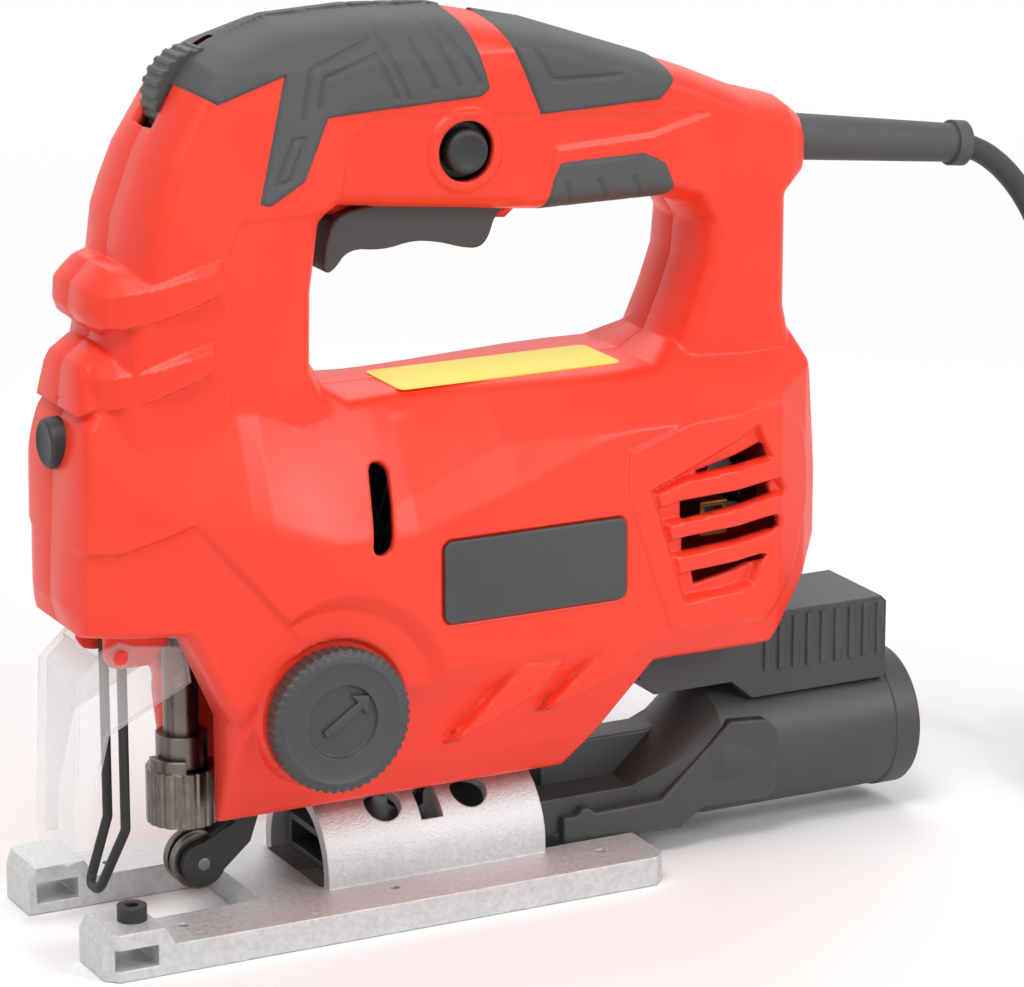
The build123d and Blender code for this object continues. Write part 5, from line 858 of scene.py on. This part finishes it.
def casing_stop(x, z):
    """How far from the middle plane the wall ends: nought where the halves meet."""
    well = in_room(WELL_ROOM, x, z) | in_room(BLADE_ROOM, x, z)
    trigger = in_room(TRIGGER_ROOM, x, z)
    dial = np.hypot(x - DIAL_PLACE[0], z - DIAL_PLACE[1]) < DIAL_ROOM + DIAL_MARGIN
    return WELL_HALF_WIDTH * well + TRIGGER_HALF_SLOT * trigger + DIAL_HALF_SLOT * (dial & (z > DIAL_FLOOR_Z))


print("plunger well", 2 * WELL_HALF_WIDTH, "mm wide")

# %% Holes of the casing
LOCK_BORE = 7.2


def outline_of(points):
    """The depth inside one closed outline, as a function of place."""
    return lambda x, z: depth_in(points, x, z)


def slot_depth(x, z):
    """Depth inside the round-ended slot ahead of the badge."""
    return SIDE_SLOT_RADIUS - off_line(SIDE_SLOT, x, z)


def ring_depth(place, radius):
    """Depth inside a circle."""
    return lambda x, z: radius - np.hypot(x - place[0], z - place[1])


holes = [outline_of(vent) for vent in VENTS] + [slot_depth]
left_holes = holes + [ring_depth(LOCK_PLACE, LOCK_BORE)]
print("holes", len(left_holes), "left,", len(holes), "right")

# %% Casing halves
SHELL, GRIP_MARGIN, GRIP_INSET, GRIP_SINK = 2.2, 1.4, 0.6, 0.8


def under_grips(x, z):
    """One where a grip covers the casing, and nought elsewhere."""
    return np.max([ramped(depth_in(points, x, z) - GRIP_MARGIN, 1.0) for points in GRIPS.values()], axis=0)


def shell_edge(x, z):
    """The casing's outline, drawn in under the grips."""
    return casing_depth(x, z) - GRIP_INSET * under_grips(x, z)


def shell_height(left):
    """The casing's half-width, sunk under the grips."""
    return lambda x, z: casing_height(x, z, left) - GRIP_SINK * under_grips(x, z)


for half, side, through in (("left", -1, left_holes), ("right", 1, holes)):
    shell = relief(f"casing_{half}", shell_edge, shell_height(side < 0), through, casing_stop, side)
    shell.data.materials.append(finishes["red_casing"])
    wall = shell.modifiers.new("wall", "SOLIDIFY")
    wall.thickness, wall.offset = SHELL * MM, -1.0
    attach(shell, "housing")
    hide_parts(f"housing_{half}")

# %% [markdown]
# ## The soft grips
# The grips are thin rubber skins moulded over the casing. Each one follows the casing's own height, a little proud
# of it, inside its own outline. Its edge dips into the casing, which leaves the dark seam that an overmould has.
# The grooves are lines in the same height field.

# %% Grip grooves
GROOVES = {
    "front_grip": [
        [(58.6, 193.9), (61.2, 204.7), (77.5, 210.3)], [(62.8, 195.8), (64.5, 202.6), (77.8, 206.8), (82.4, 196.5)],
        [(78.2, 218.5), (79.8, 209.6), (85.6, 196.1)], [(84.9, 217.6), (86.5, 209.8), (92.3, 198.2)],
        [(89.1, 217.3), (93.2, 209.3), (98.3, 198.1)], [(94.9, 212.2), (100.9, 203.3), (103.8, 198.4)],
        [(51.1, 179.6), (55.8, 189.5), (58.7, 189.6), (54.4, 180.4), (51.1, 179.6)],
    ],
    "rear_grip": [[(118.7, 204.9), (122.6, 197.6), (141.1, 197.2)]],
    "under_grip": [
        [(126.5, 172.5), (129.2, 163)], [(135.3, 172.5), (138.9, 163)], [(144.6, 172.5), (148.3, 163)],
    ],
}
GRIP_RISE, GRIP_SEAM, GRIP_SEAM_WIDTH, GRIP_OVERLAP = 0.8, 1.0, 1.0, 0.5
GROOVE_DEPTH, GROOVE_REACH = 0.65, 0.9
print("grips", list(GRIPS))

# %% Grip pieces
def grip_edge(points):
    """Depth inside a grip: its own outline, and just outside the casing's."""
    return lambda x, z: np.minimum(depth_in(points, x, z), casing_depth(x, z) + GRIP_OVERLAP)


def grip_height(points, grooves, left):
    """Half-width of a grip: the casing, a little proud, sunk at the seam and along the grooves."""
    def height(x, z):
        seam = 1 - smooth(depth_in(points, x, z) / GRIP_SEAM_WIDTH)
        base = casing_height(x, z, left) + GRIP_RISE - GRIP_SEAM * seam
        for line in grooves:
            base = base - GROOVE_DEPTH * (1 - smooth(off_line(line, x, z) / GROOVE_REACH))
        return np.maximum(base, LEAST_WIDTH)
    return height


for name, points in GRIPS.items():
    for half, side in (("left", -1), ("right", 1)):
        skin = relief(
            f"{name}_{half}_skin", grip_edge(points), grip_height(points, GROOVES[name], side < 0), [], casing_stop,
            side,
        )
        skin.data.materials.append(finishes["dark_rubber"])
        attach(skin, "housing")
        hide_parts(f"{name}_{half}")

# %% [markdown]
# ## The smaller pieces
# What is left is made of two simple things: a flat plate cut to a side outline, and a turned shape whose radius can
# ripple round its axis. Most plates get a small bevel on their edges, because no moulded edge is perfectly sharp; the
# turned shapes get none.

# %% Plates and turned pieces
PIECE_SHARP = 28


def plate(name, points, near, far, finish, bevel, lean=0.0):
    """A side outline given thickness between two distances from the middle plane; the far face may lean outwards."""
    count = len(points)
    places = [at(x, near, z) for x, z in points]
    places += [at(x, far + lean * (x - points[0][0]), z) for x, z in points]
    faces = [[(k + 1) % count, k, k + count, (k + 1) % count + count] for k in range(count)]
    faces += [list(range(count)), list(range(2 * count - 1, count - 1, -1))]
    return finished(name, places, faces, finish, bevel)


def turned(name, centre, rings, finish, ripples=0, segments=144, lengthwise=False, loop=False):
    """A shape turned about an axis across or along the tool: rings of distance, radius and ripple depth.

    Its two ends are closed, or joined to each other where it is a loop, which leaves a bore."""
    places, faces = [], []
    for distance, radius, ripple in rings:
        for step in range(segments):
            angle = 2 * math.pi * step / segments
            reach = radius + ripple * (0.5 + 0.5 * math.cos(ripples * angle))
            level, high = centre[0] + reach * math.cos(angle), centre[1] + reach * math.sin(angle)
            places.append(at(distance, level, high) if lengthwise else at(level, distance, high))
    for ring in range(len(rings) if loop else len(rings) - 1):
        here, there = ring * segments, (ring + 1) % len(rings) * segments
        for step in range(segments):
            after = (step + 1) % segments
            faces.append([here + step, here + after, there + after, there + step])
    if not loop:
        faces += [list(range(segments - 1, -1, -1)), list(range((len(rings) - 1) * segments, len(rings) * segments))]
    return finished(name, places, faces, finish, 0)


def finished(name, places, faces, finish, bevel):
    """An object with its faces turned outwards, smoothed, bevelled and given its finish."""
    mesh = bpy.data.meshes.new(name)
    shape = bmesh.new()
    corners = [shape.verts.new(place) for place in places]
    for face in faces:
        shape.faces.new([corners[k] for k in face])
    bmesh.ops.recalc_face_normals(shape, faces=shape.faces)
    shape.to_mesh(mesh)
    shape.free()
    mesh.polygons.foreach_set("use_smooth", [True] * len(mesh.polygons))
    mesh.set_sharp_from_angle(angle=math.radians(PIECE_SHARP))
    mesh.materials.append(finishes[finish])
    thing = bpy.data.objects.new(name, mesh)
    scene.collection.objects.link(thing)
    if bevel:
        soft = thing.modifiers.new("soft edge", "BEVEL")
        soft.width, soft.segments = bevel * MM, 3
    print(name, len(mesh.vertices), "vertices")
    return thing


print("piece makers ready")

# %% [markdown]
# ## The orbit knob
# The knob is a moulded dial with a fine ripple for the fingers, a raised rim and a pointer in its middle. Turned rings
# give the rim and the dished face, and the ripple is a wave in the radius of the outer rings. That is closer to a
# mould than cutting each rib.

# %% Orbit knob
KNOB_RINGS = [
    (-30.4, 16.0, 0), (-30.6, 16.6, 0.5), (-35.4, 16.9, 0.6), (-36.1, 16.3, 0.4), (-36.5, 15.4, 0), (-36.6, 14.6, 0),
    (-36.1, 13.6, 0), (-36.0, 9.4, 0), (-36.0, 9.0, 0), (-34.9, 8.5, 0), (-34.8, 7.8, 0), (-34.8, 2.0, 0),
]
knob = turned("orbit_knob_face", KNOB_PLACE, KNOB_RINGS, "dark_plastic", ripples=48, segments=288)
POINTER_BACK, POINTER_FACE = -34.6, -35.7
POINTER = [(54.2, 53.2), (63.2, 59.2), (61.5, 61.2), (66.0, 60.6), (65.6, 55.8), (64.2, 57.8), (55.2, 51.6)]
pointer = plate("orbit_pointer", POINTER, POINTER_BACK, POINTER_FACE, "dark_plastic", 0.25)
for piece in (knob, pointer):
    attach(piece, "orbit_knob")
    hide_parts("orbit_knob")

# %% [markdown]
# ## Buttons and trigger
# The lock and light buttons are small caps with a flange inside that holds them in the casing, so each is one turned
# shape. The trigger is moulded to the fingers. Its outline was drawn with few corners, and cutting those off twice
# leaves soft curves without a modifier.

# %% Buttons
LOCK_RINGS = [
    (-13.1, 6.8, 0), (-14.5, 6.8, 0), (-14.5, 5.2, 0), (-18.8, 5.2, 0), (-19.4, 4.8, 0), (-19.6, 4.0, 0),
    (-19.3, 3.1, 0), (-19.1, 1.0, 0),
]
lock = turned("lock_button_cap", LOCK_PLACE, LOCK_RINGS, "black_plastic", segments=72)
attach(lock, "lock_button")
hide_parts("lock_button")
LIGHT_PLACE = (0.0, 120.5)
LIGHT_RINGS = [
    (11.0, 7.2, 0), (9.6, 7.2, 0), (9.6, 6.0, 0), (2.2, 6.0, 0), (1.3, 5.6, 0), (0.9, 4.8, 0), (1.2, 4.2, 0),
    (1.4, 1.0, 0),
]
light = turned("light_button_cap", LIGHT_PLACE, LIGHT_RINGS, "black_plastic", segments=72, lengthwise=True)
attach(light, "light_button")
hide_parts("light_button")

# %% Trigger
def eased(points, rounds=2):
    """An outline with its corners cut off again and again, which leaves soft curves."""
    for _ in range(rounds):
        pairs = zip(points, points[1:] + points[:1])
        points = [
            (a[0] + share * (b[0] - a[0]), a[1] + share * (b[1] - a[1])) for a, b in pairs for share in (0.25, 0.75)
        ]
    return points


TRIGGER_SIDE = [
    (70.6, 168), (68.4, 161), (67.8, 155.2), (70.4, 155), (74.5, 160.3), (83.5, 159), (91, 160.6), (98, 159.6),
    (104, 157.6), (108.5, 157), (111, 159.5), (112.5, 164.4), (115.6, 166.4), (115.6, 171.4), (111, 172), (80, 170.5),
]
TRIGGER_HALF_WIDTH, TRIGGER_PIVOT = 8.5, (113.0, 168.8)
TRIGGER_PINS = [(-11.1, 1.8, 0), (11.1, 1.8, 0)]
pull = plate("trigger_pull", eased(TRIGGER_SIDE), -TRIGGER_HALF_WIDTH, TRIGGER_HALF_WIDTH, "dark_plastic", 1.0)
pins = turned("trigger_pins", TRIGGER_PIVOT, TRIGGER_PINS, "dark_plastic", segments=32)
for piece in (pull, pins):
    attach(piece, "trigger")
    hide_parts("trigger")

# %% [markdown]
# ## Plates on the sides
# Each side has a dark plate in a shallow pocket. A rectangle with round corners, a little smaller than the pocket,
# leaves the fine gap that a fitted plate shows.

# %% Side plates
def round_corners(centre, size, radius, steps=6):
    """A rectangle with round corners, as points."""
    points = []
    for quarter, (sx, sz) in enumerate(((1, 1), (-1, 1), (-1, -1), (1, -1))):
        for step in range(steps + 1):
            angle = math.pi / 2 * (quarter + step / steps)
            points.append((
                centre[0] + sx * (size[0] / 2 - radius) + radius * math.cos(angle),
                centre[1] + sz * (size[1] / 2 - radius) + radius * math.sin(angle),
            ))
    return points


PLATE_SIZE, PLATE_CORNER, PLATE_BACK, PLATE_FACE = (48.0, 19.9), 2.2, 32.6, 33.8
BADGE = round_corners(BADGE_PLACE, PLATE_SIZE, PLATE_CORNER)
for half, side in (("left", -1), ("right", 1)):
    badge = plate(f"badge_{half}_plate", BADGE, side * PLATE_BACK, side * PLATE_FACE, "dark_plastic", 0.3)
    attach(badge, "housing")
    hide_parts(f"badge_{half}")

# %% [markdown]
# ## The dust adapter's mouldings
# The CAD's adapter is a plain duct, arm and port. The real one also has a flat web on each side, a block in front and
# a lip round its port. They could be cut into one new mesh, but plates and a turned loop that ride on the adapter are
# simpler, and they leave the port's bore as it is.

# %% Mouldings of the dust adapter
WEB_SIDE = [
    (128.5, 6.2), (160, 6.2), (166.5, 10.8), (184, 10.8), (186.5, 13.4), (186.5, 28.4), (183.5, 31.6), (173.6, 32.2),
    (155, 14.2), (137, 13.4), (135.4, 15), (133.4, 15), (132.4, 13.2), (128.5, 13.2),
]
BLOCK_SIDE = [(128.5, 17.2), (164, 17.2), (164, 30), (158.6, 27.8), (128.5, 27.8)]
WEB_LEAN = 0.064
WEB_INNER, WEB_OUTER, BLOCK_NEAR, BLOCK_FAR = 10.8, 14.0, -1.0, 9.0
PORT_AXIS = (0.0, 21.75)
LIP_RINGS = [
    (221.4, 17.3, 0), (221.9, 17.9, 0), (227.9, 17.9, 0), (228.4, 17.4, 0), (228.4, 15.6, 0), (221.4, 16.4, 0),
]
mouldings = [
    plate("adapter_block", BLOCK_SIDE, BLOCK_NEAR, BLOCK_FAR, "dark_plastic", 0.5),
    turned("port_lip", PORT_AXIS, LIP_RINGS, "dark_plastic", lengthwise=True, loop=True),
]
for half, side in (("left", -1), ("right", 1)):
    mouldings.append(plate(
        f"adapter_web_{half}", WEB_SIDE, side * WEB_INNER, side * WEB_OUTER, "dark_plastic", 0.6, side * WEB_LEAN
    ))
for piece in mouldings:
    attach(piece, "dust_adapter")

# %% [markdown]
# ## The guard's lugs and the plunger's well
# The chip guard swings on two lugs under the nose, and the plunger runs in an open well behind it. Both belong to the
# casing, but they face inwards, where a height field can't reach, so they are plates of their own.

# %% Guard lugs and the plunger's well
LUG_SIDE = [(11, 80), (11, 69.6), (12.4, 67.6), (15, 67), (22, 67), (27, 72), (24.5, 80)]
WELL_SIDE = [(25.5, 78.5), (36.6, 54), (36.6, 28.8), (66, 28.8), (66, 80), (25.5, 80)]
WELL_BACK = [(65.6, 28.8), (68.4, 28.8), (68.4, 66), (65.6, 66)]
WELL_BACK_HALF_WIDTH, WELL_OUTER = 13.4, 15.3
LUG_INNER, LUG_OUTER, LUG_PIVOT = 7.45, 9.75, (13.9, 70.5)
PIVOT_RINGS = [(9.7, 1.8), (11.8, 1.8), (12.1, 1.5)]
inside = [plate("well_back", WELL_BACK, -WELL_BACK_HALF_WIDTH, WELL_BACK_HALF_WIDTH, "red_casing", 0)]
for half, side in (("left", -1), ("right", 1)):
    inside.append(plate(f"guard_lug_{half}", LUG_SIDE, side * LUG_INNER, side * LUG_OUTER, "red_casing", 0.4))
    pin = [(side * distance, radius, 0) for distance, radius in PIVOT_RINGS]
    inside.append(turned(f"guard_pivot_{half}", LUG_PIVOT, pin, "red_casing", segments=32))
    inside.append(plate(f"well_wall_{half}", WELL_SIDE, side * WELL_HALF_WIDTH, side * WELL_OUTER, "red_casing", 0))
for piece in inside:
    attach(piece, "housing")
